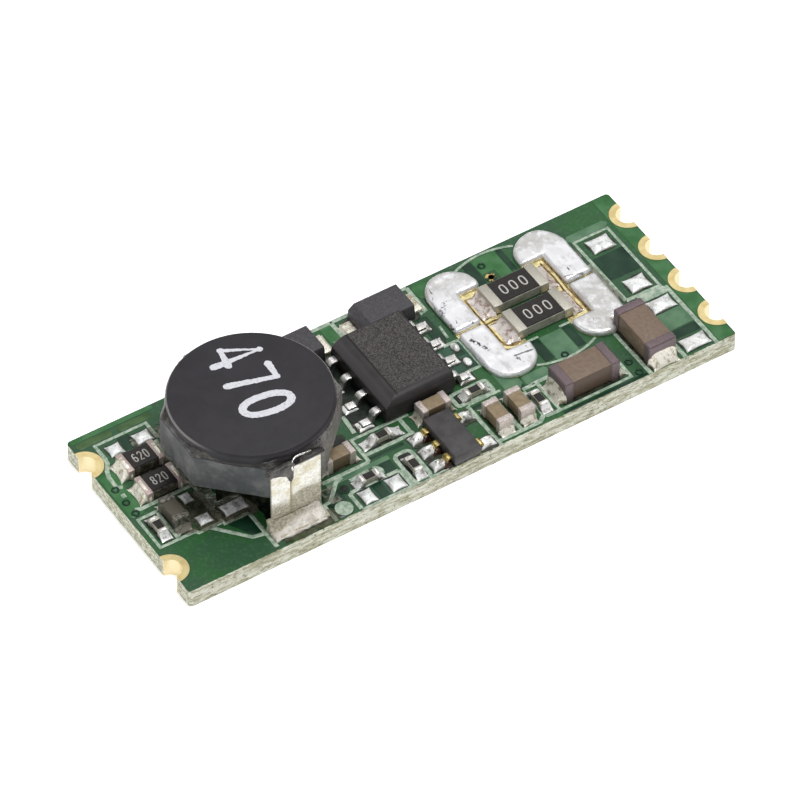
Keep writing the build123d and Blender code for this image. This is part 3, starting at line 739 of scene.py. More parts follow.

# Painted shadow
# Between the driver's left leads, between the shield and the driver, beside the front terminal and
# under some small chips, near-black patches on the board stand for the shade that falls there.
shadow_paint = two_tone(
    "painted_shadow", (20, 24, 20), (40, 50, 40), (0.4, 4, 0.6), (0.4, 0.65), 0.02,
    roughness=0.4, specular=0.35,
)
shadow_paint_patches = [
    wavy_block(-3.32, -1.9, -0.95, 3.3, 91, 0.08),
    wavy_block(-5.3, -4.02, -1.9, -0.9, 92, 0.08),
    wavy_block(-9.78, -9.1, -4.3, -2.7, 93, 0.06),
    wavy_block(-2.66, -2.0, -5.28, -3.54, 94, 0.03),
    wavy_block(1.66, 3.36, -2.3, -1.74, 95, 0.03),
    arc(-5.8, -3.92, 0.19, 0, 345, 23),
]
flat_patches("painted_shadow_patches", shadow_paint_patches, relief + 0.034, shadow_paint, rounding=0)

# Solder
# Tin solder that froze bright and uneven, a little brown with flux where it was touched up. A
# joint climbs the end of its chip and runs out to the corners of its pad.


def solder_finish(name, dullness, upright_shade=0.0):
    """Bright solder, brown with flux here and there, with shares of grey crust and of painted shade on
    upright faces.
    """
    solder = Finish(name, roughness=0.25, metallic=1.0)
    crust = solder.grain(0.3, 4, 0.65)
    speck = solder.grain(0.06, 3, 0.7)
    solder.paint((244, 243, 242), (214, 210, 206), crust.rise(0.42, 0.62))
    solder.lay((186, 164, 138), solder.grain(0.5, 3).rise(0.5, 0.7) * 0.3)
    solder.lay((96, 92, 88), (1 - speck.rise(0.28, 0.4)) * dullness)
    # Painted shade: upright faces are darkened, by the share given for them.
    solder.lay((74, 74, 64), (1 - solder.facing("Z").rise(0.15, 0.6)) * upright_shade)
    solder.feed("Roughness", crust.rise(0.35, 0.7) * 0.25 + 0.2)
    solder.feed("Metallic", 0.9 - crust.rise(0.45, 0.65) * 0.3)
    solder.bump(solder.grain(0.14, 4, 0.6) * 0.7 + speck * 0.2, 0.035)
    return solder


def soiled(finish, right):
    """1 on the surface left of this place in X, where flux dirt lies over everything."""
    return 1 - finish.past("X", right - 0.2, right)


def pad_finish(name, light, dark, specks, metal=0.5, rim=0.0, dust=0.0):
    """Smoother, whiter solder with dark patches, black specks, painted shade on its steep rim and one dusty
    corner.
    """
    solder = Finish(name, roughness=0.3)
    patch = solder.grain(0.35, 3, 0.6)
    speck = solder.grain(0.12, 4, 0.7)
    solder.paint(light, dark, patch.rise(0.52, 0.66))
    solder.lay((44, 40, 36), (1 - speck.rise(0.34, 0.42)) * specks)
    # Painted shade: the steep flanks of the solder are darkened, by the share rim.
    solder.lay((58, 56, 48), (1 - solder.facing("Z").rise(0.2, 0.62)) * rim)
    solder.lay((112, 108, 96), soiled(solder, -12.7) * (1 - solder.past("Y", -0.7, -0.5)) * dust)
    solder.feed("Roughness", patch * 0.3 + 0.18)
    solder.feed("Metallic", patch.rise(0.4, 0.7) * 0.3 + metal)
    solder.bump(patch + speck * 0.4, 0.05)
    return solder


pad_solder = pad_finish("pad_solder", (234, 236, 234), (198, 198, 194), 0.5, 0.12, 0.7)
mottled_solder = pad_finish("mottled_solder", (255, 255, 253), (172, 168, 158), 1.0, 0.25, 0.8)
cream_solder = pad_finish("cream_solder", (242, 237, 222), (184, 174, 150), 0.8, 0.35, dust=0.85)
pink_solder = pad_finish("pink_solder", (238, 228, 222), (184, 162, 148), 0.6, 0.45)


def solder_blank(cells):
    """Model one square pat of solder, closed, from -1 to 1 with its top at 1."""
    start_modelling()
    bpy.ops.mesh.primitive_grid_add(x_subdivisions=cells, y_subdivisions=cells, size=2, location=(0, 0, 0))
    bpy.ops.object.mode_set(mode="EDIT")
    bpy.ops.mesh.select_all(action="SELECT")
    bpy.ops.mesh.extrude_region_move(TRANSFORM_OT_translate={"value": (0, 0, 1)})
    bpy.ops.mesh.select_all(action="SELECT")
    bpy.ops.mesh.normals_make_consistent(inside=False)
    bpy.ops.object.mode_set(mode="OBJECT")
    return bpy.context.object


blank = solder_blank(14)


def pat(shape):
    """Copy the blank and move each of its points to where shape puts it."""
    piece = blank.copy()
    piece.data = blank.data.copy()
    bpy.context.scene.collection.objects.link(piece)
    for vertex in piece.data.vertices:
        vertex.co = shape(*vertex.co)
    return piece


def ripple(x, y):
    """Smooth unevenness between -1 and 1."""
    return noise.noise(Vector((x / ripple_size, y / ripple_size, 3.7)))


ripple_size = 0.35
lip = 0.03
round_pad_limit = 0.32


def dome(low, high, height, pinch=0.13):
    """Solder that rises to the middle of its pad and is pulled out into the corners."""
    middle = (low + high) / 2
    half = (high - low) / 2
    round_pad = max(half.x, half.y) < round_pad_limit

    def shape(u, v, w):
        x = middle.x + half.x * u * (1 - pinch * (1 - v * v))
        y = middle.y + half.y * v * (1 - pinch * (1 - u * u))
        if round_pad:
            x = middle.x + half.x * u * math.sqrt(1 - v * v / 2)
            y = middle.y + half.y * v * math.sqrt(1 - u * u / 2)
        swell = max(0.0, (1 - u * u) * (1 - v * v)) ** 0.6
        uneven = 1 + 0.55 * ripple(x, y)
        return x, y, top + w * (lip + (height - lip) * swell * uneven)

    return pat(shape)


def climb(cap, joint, height, lap=0.03, spread=0.0, pinch=0.18):
    """Solder that climbs from the edge of its pad to the end of a chip, and laps over it."""
    cap_middle = (cap[0] + cap[1]) / 2
    joint_middle = (joint[0] + joint[1]) / 2
    away = joint_middle - cap_middle
    along = 0 if abs(away.x) > abs(away.y) else 1
    across = 1 - along
    side = 1 if away[along] > 0 else -1
    wall = (cap[1] if side > 0 else cap[0])[along] - side * lap
    rim = (joint[1] if side > 0 else joint[0])[along] + side * spread
    flat = (lap - 0.03) / abs(rim - wall)
    middle = joint_middle[across]
    half = (joint[1][across] - joint[0][across]) / 2 + spread * 0.6

    def shape(u, v, w):
        out = (u + 1) / 2
        place = [0, 0]
        place[along] = wall + (rim - wall) * out * (1 - pinch * out * (1 - v * v))
        place[across] = middle + half * v * (1 - pinch * math.sin(math.pi * out * 0.9))
        fall = min(1.0, (1 - out) / (1 - flat)) ** 1.6 * (1 - 0.55 * v ** 4)
        edge = (1 - v ** 6) * min(1.0, 4 * (1 - out))
        uneven = 0.04 * ripple(*place) * edge
        return place[0], place[1], top + w * (lip + (height - lip) * fall + uneven + 0.02 * edge)

    return pat(shape)


def nearest_box(boxes, box):
    """The box whose middle is nearest to the middle of this one."""
    middle = (box[0] + box[1]) / 2
    return min(boxes, key=lambda other: ((other[0] + other[1]) / 2 - middle).length)


def solder_chips(name, joint_node, cap_node, finish, share=1.0, lap=0.03, spread=0.0, pinch=0.18):
    """Solder both ends of every chip of a kind."""
    caps = islands(cap_node)
    pats = []
    for joint in islands(joint_node):
        cap = nearest_box(caps, joint)
        height = (joint[1].z - top) * share
        if lap > 0.05:
            height = max(height, cap[1].z - top + 0.03)
        pats.append(climb(cap, joint, height, lap, spread, pinch))
    put_down(join(pats), name, finish, [joint_node])


def solder_pads(name, joint_node, finish, height, pinch=0.13, reach=0.0):
    """Solder every pad of a node with a dome that reaches a little past its ends."""
    longer = Vector((reach, 0, 0))
    pats = [dome(low - longer, high + longer, height, pinch) for low, high in islands(joint_node)]
    put_down(join(pats), name, finish, [joint_node])


solder_chips("solder_link_ends", "link_solder", "link_end_caps", pink_solder, spread=0.16)
solder_chips("solder_sense_ends", "sense_solder", "sense_end_caps", cream_solder, 1.2, lap=0.2)
solder_chips(
    "solder_small_resistors", "small_resistor_solder", "small_resistor_end_caps", mottled_solder, 2.1,
    lap=0.13, pinch=0.08,
)
solder_chips("solder_small_capacitors", "small_capacitor_solder", "small_capacitor_end_caps", cream_solder)
solder_chips(
    "solder_power_capacitors", "power_capacitor_solder", "power_capacitor_end_caps", cream_solder, 1.35,
)
solder_chips("solder_diode_tabs", "diode_solder", "diode_tabs", cream_solder)
solder_pads("solder_bare_pads", "bare_pad_solder", pad_solder, 0.15, 0.1)
solder_pads("solder_driver_feet", "driver_solder", mottled_solder, 0.17, 0.1)
solder_pads("solder_amplifier_feet", "amplifier_solder", mottled_solder, 0.36, 0.06, 0.1)

dark_flux = Finish("burnt_flux", roughness=0.2, specular=0.5)
dark_flux.paint((30, 17, 12), (70, 44, 28), dark_flux.grain(0.2, 3).rise(0.4, 0.65))
dark_flux.bump(dark_flux.grain(0.15, 3), 0.04)
pools = []
for low, high in islands("amplifier_leads"):
    lead_y = (low.y + high.y) / 2
    if high.x < 0:
        inner = high.x + 0.02
        pool_low, pool_high = Vector((inner - 0.5, lead_y - 0.42, 0)), Vector((inner, lead_y + 0.36, 0))
        pools.append(dome(pool_low, pool_high, 0.3, 0.05))
put_down(join(pools), "burnt_flux_pools", dark_flux)
bpy.data.objects.remove(blank)

# Solder on the lands
# A thick layer, drawn on by hand with the iron: smooth and white, wavy, with duller patches and painted
# shade towards its back ends. Flux is scorched brown along the gold of the lands.


def take_copy(node, name):
    """Copy a carried-over piece with its own mesh, merged, with millimetres as its units."""
    piece = nodes[node].copy()
    piece.data = nodes[node].data.copy()
    for key in list(piece.keys()):
        del piece[key]
    piece.name = name
    piece.parent = None
    bpy.context.scene.collection.objects.link(piece)
    start_modelling(piece)
    piece.scale = (1 / mm,) * 3
    bpy.ops.object.transform_apply()
    merge_points()
    return piece


def make_uneven(piece, name, grain, rounds, lump, unevenness, middle=0.5, swell=0.0, last_rounds=2):
    """Grow one skin over a piece, swell and smooth it, and give it lumps of this size."""
    use_modifier(piece, "REMESH", mode="VOXEL", voxel_size=grain, adaptivity=0.0)
    if swell:
        use_modifier(piece, "DISPLACE", strength=swell, mid_level=0.0)
    use_modifier(piece, "SMOOTH", factor=0.5, iterations=rounds)
    lumps = bpy.data.textures.new(name + "_lumps", "CLOUDS")
    lumps.noise_scale = lump
    use_modifier(
        piece, "DISPLACE", texture=lumps, texture_coords="LOCAL", strength=unevenness, mid_level=middle,
    )
    if last_rounds:
        use_modifier(piece, "SMOOTH", factor=0.5, iterations=last_rounds)


def melt(node, name, finish, grain, rounds, swell, lump, unevenness):
    """Round a plain solder solid off and make it uneven, as solder sets."""
    piece = take_copy(node, name)
    make_uneven(piece, name, grain, rounds, lump, unevenness, swell=swell)
    put_down(piece, name, finish, [node])


land_solder = Finish("thick_land_solder", roughness=0.32, metallic=0.5)
land_wisp = land_solder.grain(0.5, 4, 0.6, (1, 1.8, 1))
land_fine = land_solder.grain(0.12, 3, 0.7)
land_solder.paint((236, 236, 238), (208, 206, 206), land_wisp.rise(0.5, 0.66))
land_y = land_solder.axis("Y")
land_x = land_solder.axis("X")
# Painted shade: the solder greys in patches towards the back ends of the lands. Near the front right end it
# greys where the solder is duller.
back_end_shade = land_y.rise(3.4 * mm, 4.6 * mm) * 0.8
dull_front = land_x.rise(9.0 * mm, 9.6 * mm) * (1 - land_y.rise(0.4 * mm, 1.2 * mm))
shade_and_dull_patches = (back_end_shade + dull_front * 0.8).least(1.0) * land_solder.grain(0.45, 4, 0.7).rise(0.34, 0.56)
land_solder.lay((188, 186, 181), shade_and_dull_patches)
land_scratch = land_solder.grain(0.5, 5, 0.75, (1, 2.2, 1))
land_solder.lay((84, 80, 76), 1 - land_scratch.rise(0.33, 0.375))


def streak(x0, y0, x1, y1, width):
    """1 along a thin ragged line on the lands, and 0 beside it."""
    length = math.hypot(x1 - x0, y1 - y0)
    unit_x = (x1 - x0) / length
    unit_y = (y1 - y0) / length
    from_x = land_x - x0 * mm
    from_y = land_y - y0 * mm
    along = from_x * unit_x + from_y * unit_y
    across = (from_y * unit_x - from_x * unit_y).size() + land_scratch * (0.2 * mm) - 0.1 * mm
    inside = along.least(length * mm - along).rise(0.0, 0.1 * mm)
    return inside * (1 - across.rise(width * 0.4 * mm, width * mm))


burnt = streak(4.15, 0.75, 4.59, -0.41, 0.14) * land_fine.rise(0.46, 0.52)
burnt = burnt.most(streak(5.3, -1.3, 6.4, -1.42, 0.06) * 0.8)
burnt = burnt.most(streak(3.75, 2.6, 4.6, 3.5, 0.2) * land_fine.rise(0.5, 0.56) * 0.8)
burnt = burnt.most(streak(9.7, 1.9, 11.2, 1.5, 0.05) * 0.6)
land_solder.lay((52, 50, 52), burnt)
land_solder.feed("Roughness", land_wisp * 0.25 + 0.22)
land_solder.feed("Metallic", 0.6 - land_wisp.rise(0.4, 0.7) * 0.3)
land_solder.bump(land_wisp * 0.7 + land_fine * 0.2, 0.04)
melt("land_solder", "solder_lands", land_solder, grain=0.045, rounds=5, swell=0.1, lump=1.0, unevenness=0.12)

scorch = two_tone(
    "scorched_flux", (96, 70, 48), (160, 134, 84), (0.2, 4, 0.7), (0.42, 0.6), 0.02,
    roughness=0.35, specular=0.4,
)
gold_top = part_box("link_lands")[1].z / mm
scorch_lines = [
    [(5.24, 3.3), (5.28, 2.1), (5.22, 0.9), (5.26, -0.2), (5.42, -0.55), (5.75, -0.68), (6.3, -0.66)],
    [(5.52, 3.2), (5.46, 2.2), (5.5, 1.0), (5.48, 0.1), (5.58, -0.3), (5.85, -0.45), (6.3, -0.44)],
    [(10.1, 3.5), (10.16, 2.4), (10.08, 1.3), (10.14, 0.1), (10.1, -0.55)],
    [(9.86, 3.3), (9.92, 2.2), (9.84, 1.0), (9.9, -0.3)],
    [(5.3, 1.32), (5.9, 1.36), (6.5, 1.3)],
]
ink_strokes("scorched_lines", scorch_lines, 0.09, 0.05, gold_top - sunk_in, scorch)

# Solder at the inductor
# Rough solder heaped by hand over the feet of both terminals: pinkish where it is clean, with a
# grey green crust of flux where it meets the strip.
foot_solder = Finish("inductor_foot_solder", roughness=0.4, metallic=0.4)
foot_y = foot_solder.axis("Y").size()
foot_cloud = foot_solder.grain(0.5, 4, 0.65)
foot_fine = foot_solder.grain(0.12, 3, 0.7)
foot_solder.paint((232, 227, 218), (198, 190, 180), foot_cloud.rise(0.42, 0.64))
foot_crust = foot_solder.mix((142, 137, 116), (192, 187, 168), foot_fine.rise(0.35, 0.65))
foot_lean = (foot_solder.axis("X") + 9.5 * mm) * 0.2
foot_share = 1 - (foot_y + foot_cloud * (0.6 * mm) + foot_lean).rise(4.9 * mm, 5.06 * mm)
foot_solder.lay(foot_crust, foot_share)
foot_solder.feed("Metallic", 0.35 - foot_share * 0.2)
foot_solder.bump(foot_cloud + foot_fine * 0.8, 0.1)
melt(
    "inductor_solder", "solder_inductor_feet", foot_solder, grain=0.06, rounds=14, swell=0.02, lump=0.32,
    unevenness=0.2,
)


# Power inductor
# A drum core of dark ferrite, wound and glued into an octagonal shield of grey ferrite that
# stands on two tinned strips. The value is printed on the drum in white.


def clear_facets():
    """Dissolve the edges that lie inside the flat faces of the active piece."""
    bpy.ops.object.mode_set(mode="EDIT")
    bpy.ops.mesh.select_all(action="SELECT")
    bpy.ops.mesh.dissolve_limited(angle_limit=math.radians(1))
    bpy.ops.object.mode_set(mode="OBJECT")


def ease_edges(node, finish, width, segments=2):
    """Copy a rigid piece and round its sharp edges off, in place of the plain one."""
    piece = take_copy(node, node + "_eased")
    clear_facets()
    use_modifier(
        piece, "BEVEL", width=width, segments=segments, limit_method="ANGLE", angle_limit=math.radians(25),
        use_clamp_overlap=True, harden_normals=False,
    )
    put_down(piece, node + "_eased", finish, [node], 35)


drum_low, drum_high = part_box("inductor_core")
drum_x = (drum_low.x + drum_high.x) / 2 / mm
drum_y = (drum_low.y + drum_high.y) / 2 / mm
drum_top = drum_high.z / mm
drum_radius = (drum_high.x - drum_low.x) / 2 / mm


def from_drum_axis(finish):
    """How far the surface point lies from the drum's axis in X, in Y and straight."""
    x = finish.axis("X") - drum_x * mm
    y = finish.axis("Y") - drum_y * mm
    return x, y, (x * x + y * y).root()


drum_ferrite = Finish("drum_ferrite", roughness=0.5, specular=0.3)
drum_speck = drum_ferrite.grain(0.09, 4, 0.7)
drum_ferrite.paint((43, 41, 45), (49, 47, 51), drum_ferrite.grain(1.6, 4, 0.6).rise(0.35, 0.65))
drum_ferrite.lay((60, 57, 55), drum_speck.rise(0.62, 0.8) * 0.6)
rim_x, rim_y, rim_radius = from_drum_axis(drum_ferrite)
# The drum's rim is painted lighter at the back and the sides: in patches it is worn, and along the rim it is
# a painted highlight.
rim_wear_and_highlight = rim_radius.rise((drum_radius - 0.1) * mm, (drum_radius - 0.04) * mm)
rim_wear_and_highlight = rim_wear_and_highlight * drum_ferrite.past("Z", drum_top - 0.14, drum_top - 0.1)
rim_wear_and_highlight = rim_wear_and_highlight * drum_ferrite.grain(1.2, 4, 0.6).rise(0.46, 0.6).most(rim_x.size().rise(1.2 * mm, 2.8 * mm))
rim_wear_and_highlight = rim_wear_and_highlight * rim_y.rise(-2.4 * mm, -0.6 * mm)
drum_ferrite.lay((132, 130, 127), rim_wear_and_highlight * 0.8)
drum_ferrite.feed("Roughness", drum_speck * 0.2 + 0.4)
drum_ferrite.bump(drum_speck * 0.7 + drum_ferrite.grain(0.4, 3) * 0.5, 0.012)
ease_edges("inductor_core", drum_ferrite, 0.03)

shield_ferrite = Finish("shield_ferrite", roughness=0.45, specular=0.45)
shield_cloud = shield_ferrite.grain(0.9, 5, 0.65)
shield_speck = shield_ferrite.grain(0.1, 4, 0.75)
shield_ferrite.paint((66, 69, 70), (98, 99, 98), shield_cloud.rise(0.38, 0.68))
shield_ferrite.lay((136, 134, 126), shield_speck.rise(0.66, 0.78) * 0.7)
dusty = shield_ferrite.past("X", drum_x + 1.1, drum_x + 1.6) * (shield_cloud.rise(0.3, 0.6) * 0.4 + 0.5)
dust_cloud = shield_ferrite.grain(0.2, 4, 0.7)
dust = shield_ferrite.mix((86, 80, 75), (138, 132, 126), dust_cloud.rise(0.38, 0.62))
shield_ferrite.lay(dust, dusty)
shield_ferrite.lay((186, 182, 174), dusty * shield_speck.rise(0.6, 0.7))
shield_ferrite.feed("Roughness", shield_speck * 0.25 + 0.32)
shield_ferrite.bump(shield_speck * 0.6 + shield_cloud * 0.8, 0.02)
ease_edges("inductor_shield", shield_ferrite, 0.07, 3)

enamel = Finish("enamelled_copper", roughness=0.3, specular=0.6)
turns_scale = 700.0
turns_sockets = {"Vector": enamel.place, "Scale": turns_scale}
turns = enamel.node("ShaderNodeTexWave", {"bands_direction": "Z"}, turns_sockets, 1)
enamel.paint((96, 44, 22), (170, 92, 48), turns)
enamel.bump(turns, 0.06)
dress("inductor_winding", enamel)

# Bonding resin
# A bead of grey resin, laid by hand under the rim of the drum out to the edges of the shield. At
# the front it is smeared over the top of the terminal, around the tinned end of the wire.
shield_low, shield_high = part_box("inductor_shield")
shield_top = shield_high.z / mm
half_flats = (shield_high.x - shield_low.x) / 2 / mm
half_side = 1.475
corner_flat = (half_flats + half_side) / 2 ** 0.5

resin = Finish("bonding_resin", roughness=0.35, specular=0.45)
resin_cloud = resin.grain(0.5, 4, 0.6)
resin_fine = resin.grain(0.1, 3, 0.7)
resin.paint((56, 53, 52), (98, 96, 89), resin_cloud.rise(0.42, 0.66))
resin.lay((30, 29, 29), 1 - resin_fine.rise(0.3, 0.42))
resin.lay((150, 149, 142), resin_fine.rise(0.64, 0.74) * 0.7)
from_x, from_y, from_axis = from_drum_axis(resin)
wavy_reach = from_axis - resin_cloud * (0.3 * mm)
rim_overhang_shade = 1 - wavy_reach.rise((drum_radius - 0.05) * mm, (drum_radius + 0.08) * mm)
resin_front = 1 - from_y.rise(-2.6 * mm, -1.6 * mm)
resin_right = from_x.rise(0.6 * mm, 1.8 * mm)
# Painted shade: near black under the front of the drum's rim, where the rim overhangs the resin.
resin.lay((26, 25, 26), rim_overhang_shade * resin_front * (1 - resin_right) * 0.85)
behind_wire = resin.past("X", -8.85, -8.65) * (1 - resin.past("Y", -4.22, -4.08))
resin.lay((40, 36, 34), behind_wire * 0.85)
resin.lay((128, 125, 122), resin_right * (1 - behind_wire) * resin_fine.rise(0.35, 0.6) * 0.8)
resin.feed("Roughness", resin_cloud * 0.3 + 0.2)
resin.bump(resin_cloud + resin_fine * 0.3, 0.05)


def shield_reach(angle):
    """How far the octagon reaches from its middle at this angle."""
    reach = []
    for step in range(8):
        normal = math.radians(45 * step)
        facing = math.cos(angle - normal)
        if facing > 0.3:
            reach.append((half_flats if step % 2 == 0 else corner_flat) / facing)
    return min(reach)


tube = 0.25
start_modelling()
bpy.ops.mesh.primitive_torus_add(
    major_radius=1, minor_radius=tube, major_segments=240, minor_segments=20, location=(0, 0, 0),
)
bead = bpy.context.object
bead_inner = drum_radius - 0.3
bead_foot = shield_top - 0.02
for vertex in bead.data.vertices:
    x, y, z = vertex.co
    angle = math.atan2(y, x)
    across = (math.hypot(x, y) - (1 - tube)) / (2 * tube)
    wander = noise.noise(Vector((3 * math.cos(angle), 3 * math.sin(angle), 1.3)))
    ripples = noise.noise(Vector((11 * math.cos(angle), 11 * math.sin(angle), 2.9)))
    outer = max(shield_reach(angle) - 0.02, drum_radius + 0.05) + 0.03 * ripples
    radius = bead_inner + (outer - bead_inner) * across
    slope = min(1.0, max(0.0, (outer - radius) / (outer - drum_radius + 0.03)))
    crest = shield_top + 0.04 + (0.24 + 0.12 * wander + 0.06 * ripples) * slope ** 0.6
    vertex.co = (
        drum_x + radius * math.cos(angle),
        drum_y + radius * math.sin(angle),
        bead_foot + (crest - bead_foot) * (z / tube + 1) / 2,
    )
put_down(bead, "resin_bead", resin, ["inductor_resin"])

terminal_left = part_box("inductor_terminals")[0].x / mm
terminal_face = shield_low.y / mm - 0.15
smear_depth = 0.3


def smear(name, outline, face_y):
    """Resin smeared over an upright face: a patch of this outline in X and Z, swollen outwards."""
    piece = filled_outlines(name, [outline], smear_depth, (0, face_y, 0), (math.pi / 2, 0, 0))
    make_uneven(piece, name, 0.05, 6, 0.5, 0.1, middle=0.4)
    return piece


front_outline = [
    (terminal_left - 0.25, 4.95), (terminal_left - 0.2, 4.62), (terminal_left + 0.05, 4.6),
    (-9.5, 4.5), (-9.15, 4.3), (-9.0, 3.85), (-8.88, 3.8), (-8.8, 4.3), (-8.75, 4.86), (-8.5, 4.86),
    (-8.0, 4.84), (-7.5, 4.84), (-7.15, 4.84), (-7.05, 4.92), (-7.6, 5.02), (-8.2, 5.02), (-8.4, 4.98),
    (-8.75, 5.0), (-9.3, 5.05),
]
front_smear = smear("front", front_outline, terminal_face)
back_outline = [
    (terminal_left + 0.5, 4.8), (terminal_left + 0.4, 4.5), (-9.0, 4.35), (-8.6, 4.4), (-8.0, 4.4),
    (-7.7, 4.6), (-7.8, 4.8), (-8.4, 4.9),
]
back_smear = smear("back", back_outline, 2 * drum_y - terminal_face)
put_down(join([front_smear, back_smear]), "resin_smears", resin)

# Terminals
# Two tinned metal strips, bent up the front and the back of the shield and soldered to the board:
# white where the tin is clean, with a brown grey crust where solder wicked up.
tin_strip = Finish("tinned_strip", roughness=0.35, metallic=0.75)
strip_x = tin_strip.axis("X")
strip_z = tin_strip.axis("Z")
strip_cloud = tin_strip.grain(0.5, 4, 0.6)
strip_fine = tin_strip.grain(0.1, 3, 0.7)
tin_strip.paint((236, 235, 228), (216, 209, 184), strip_cloud.rise(0.44, 0.64))
crust_tint = tin_strip.mix((150, 144, 126), (205, 199, 180), strip_fine.rise(0.35, 0.65))
wicking = tin_strip.grain(0.7, 3) * (1.2 * mm) + strip_z - (1.6 * mm)
right_part = strip_x.rise(-8.95 * mm, -8.85 * mm)
crust = 1 - (wicking - right_part * (0.45 * mm)).rise(1.1 * mm, 1.75 * mm)
seam = 1 - (strip_x - (-8.88 * mm)).size().rise(0.03 * mm, 0.1 * mm)
tin_strip.lay(crust_tint, crust)
tin_strip.lay((178, 168, 134), seam * 0.8)
crease = 1 - (tin_strip.grain(0.6, 5, 0.7) - 0.5).size().rise(0.0, 0.022)
tin_strip.lay((150, 142, 112), crease * 0.55)
tin_strip.feed("Roughness", crust * 0.25 + strip_cloud * 0.2 + 0.2)
tin_strip.feed("Metallic", 0.6 - crust * 0.35)
tin_strip.bump(strip_cloud + strip_fine * 0.4 * (crust * 0.6 + 0.4) + right_part, 0.07)
ease_edges("inductor_terminals", tin_strip, 0.04)

# Wire end
# The tinned end of the winding comes over the edge of the shield and is welded to the terminal.
# Under it, a near-black blob in the resin is painted shade in the hollow there.
wire_finish = solder_finish("tinned_wire", 0.3)
wire_curve = bpy.data.curves.new("wire_end", "CURVE")
wire_curve.dimensions = "3D"
wire_curve.bevel_depth = 0.055
wire_curve.bevel_resolution = 3
wire_curve.use_fill_caps = True
wire_spline = wire_curve.splines.new("NURBS")
wire_path = [
    (-7.7, -4.1, 4.96), (-8.0, -4.14, 5.04), (-8.35, -4.14, 5.1), (-8.66, -4.18, 5.1), (-8.86, -4.32, 4.98),
    (-8.93, -4.42, 4.8), (-8.88, -4.4, 4.62), (-8.84, -4.3, 4.46),
]
wire_spline.points.add(len(wire_path) - 1)
for point, place in zip(wire_spline.points, wire_path):
    point.co = (*place, 1)
wire_spline.order_u = 3
wire_spline.use_endpoint_u = True
put_down(curve_to_mesh("wire_end", wire_curve), "wire_end", wire_finish)

# Painted shade: a near-black blob fills the hollow under the wire.
start_modelling()
bpy.ops.mesh.primitive_uv_sphere_add(segments=24, ring_count=14, radius=0.1, location=(-8.62, -4.31, 4.94))
pocket = bpy.context.object
pocket.scale = (2.3, 1.3, 1.6)
pocket_shade_black = Finish("pocket_shade_black", roughness=0.6, specular=0.2)
pocket_shade_black.paint((18, 15, 11), (30, 26, 20), pocket_shade_black.grain(0.1))
put_down(pocket, "shade_in_pocket_under_wire", pocket_shade_black)

# Printed value
# Three digits across the drum, reading towards the front edge of the board. They are stamped in
# thick white ink, which runs together where strokes meet.
white_ink = two_tone(
    "white_print", (188, 189, 196), (216, 216, 222), (0.14, 4, 0.7), (0.32, 0.5), 0.02,
    roughness=0.6, specular=0.3,
)


def zero_outline(x, y, half_width, half_height, lean=0.0, steps=26, fullness=0.9):
    """The loop of a zero around a middle, its sides flattened a little, leaning by an angle."""
    points = []
    for step in range(steps):
        angle = 2 * math.pi * step / steps
        across = half_width * math.copysign(abs(math.cos(angle)) ** fullness, math.cos(angle))
        along = half_height * math.copysign(abs(math.sin(angle)) ** fullness, math.sin(angle))
        points.append((
            x + across * math.cos(lean) - along * math.sin(lean),
            y + across * math.sin(lean) + along * math.cos(lean),
        ))
    return points


def fused_strokes(name, strokes, width, thickness, bottom, finish, closed=()):
    """Print thick strokes with round, slightly ragged ends that run together where they meet."""
    ends = []
    for index, stroke in enumerate(strokes):
        for x, y in stroke if index not in closed else ():
            start_modelling()
            bpy.ops.mesh.primitive_uv_sphere_add(
                segments=20, ring_count=12, radius=width * 0.43, location=(x, y, 0),
            )
            ends.append(bpy.context.object)
    lines = draw_lines(
        name, strokes, closed, dimensions="3D", bevel_depth=width / 2, bevel_resolution=4,
        use_fill_caps=True,
    )
    piece = join([lines, *ends])
    bpy.ops.object.transform_apply()
    make_uneven(piece, name, 0.03, 3, 0.16, 0.07, middle=0.45, last_rounds=0)
    piece.scale = (1, 1, thickness / width)
    piece.location.z = bottom + thickness / 2
    return put_down(piece, name, finish, smooth_angle=40)


value_strokes = [
    [(-9.05, 2.27), (-6.6, 2.12), (-8.2, 3.02), (-8.38, 1.98)],
    [(-6.75, 1.17), (-6.82, 0.22), (-9.14, 0.92)],
    zero_outline(-8.13, -1.0, 1.2, 0.53, math.radians(-9)),
]
fused_strokes(
    "inductor_value_print", value_strokes, 0.38, 0.03, drum_top - sunk_in, white_ink,
    closed=(2,),
)

# Driver IC
# An eight lead package of black mould compound. Its top is spark-eroded to a fine speckle inside
# a smooth border, its front edge is rounded, and its leads are tinned.
driver_low, driver_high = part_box("driver_body")
mould = Finish("driver_mould", roughness=0.6, specular=0.3)
mould_x = mould.axis("X")
mould_y = mould.axis("Y")
inside_x = (mould_x - (driver_low.x + 0.8 * mm)).least((driver_high.x - 0.12 * mm) - mould_x)
inside_y = (mould_y - (driver_low.y + 0.42 * mm)).least((driver_high.y - 0.15 * mm) - mould_y)
mould_top = mould.facing("Z").rise(0.9, 0.98)
speckled = inside_x.least(inside_y).rise(0.0, 0.08 * mm) * mould_top
groove = (1 - inside_x.size().rise(0.02 * mm, 0.07 * mm)) * mould_top
mould_grain = mould.grain(0.055, 2, 0.6)
mould.paint((54, 52, 52), (62, 60, 60), mould.grain(0.8, 3).rise(0.3, 0.7))
mould.lay(mould.mix((43, 41, 41), (96, 93, 90), mould_grain.rise(0.32, 0.7)), speckled)
# Painted shade: the body below its upper bevel is painted darker.
shaded_lower_side = 1 - mould.axis("Z").rise(driver_low.z + 0.88 * mm, driver_low.z + 0.97 * mm)
mould.lay((44, 41, 41), shaded_lower_side * 0.85)
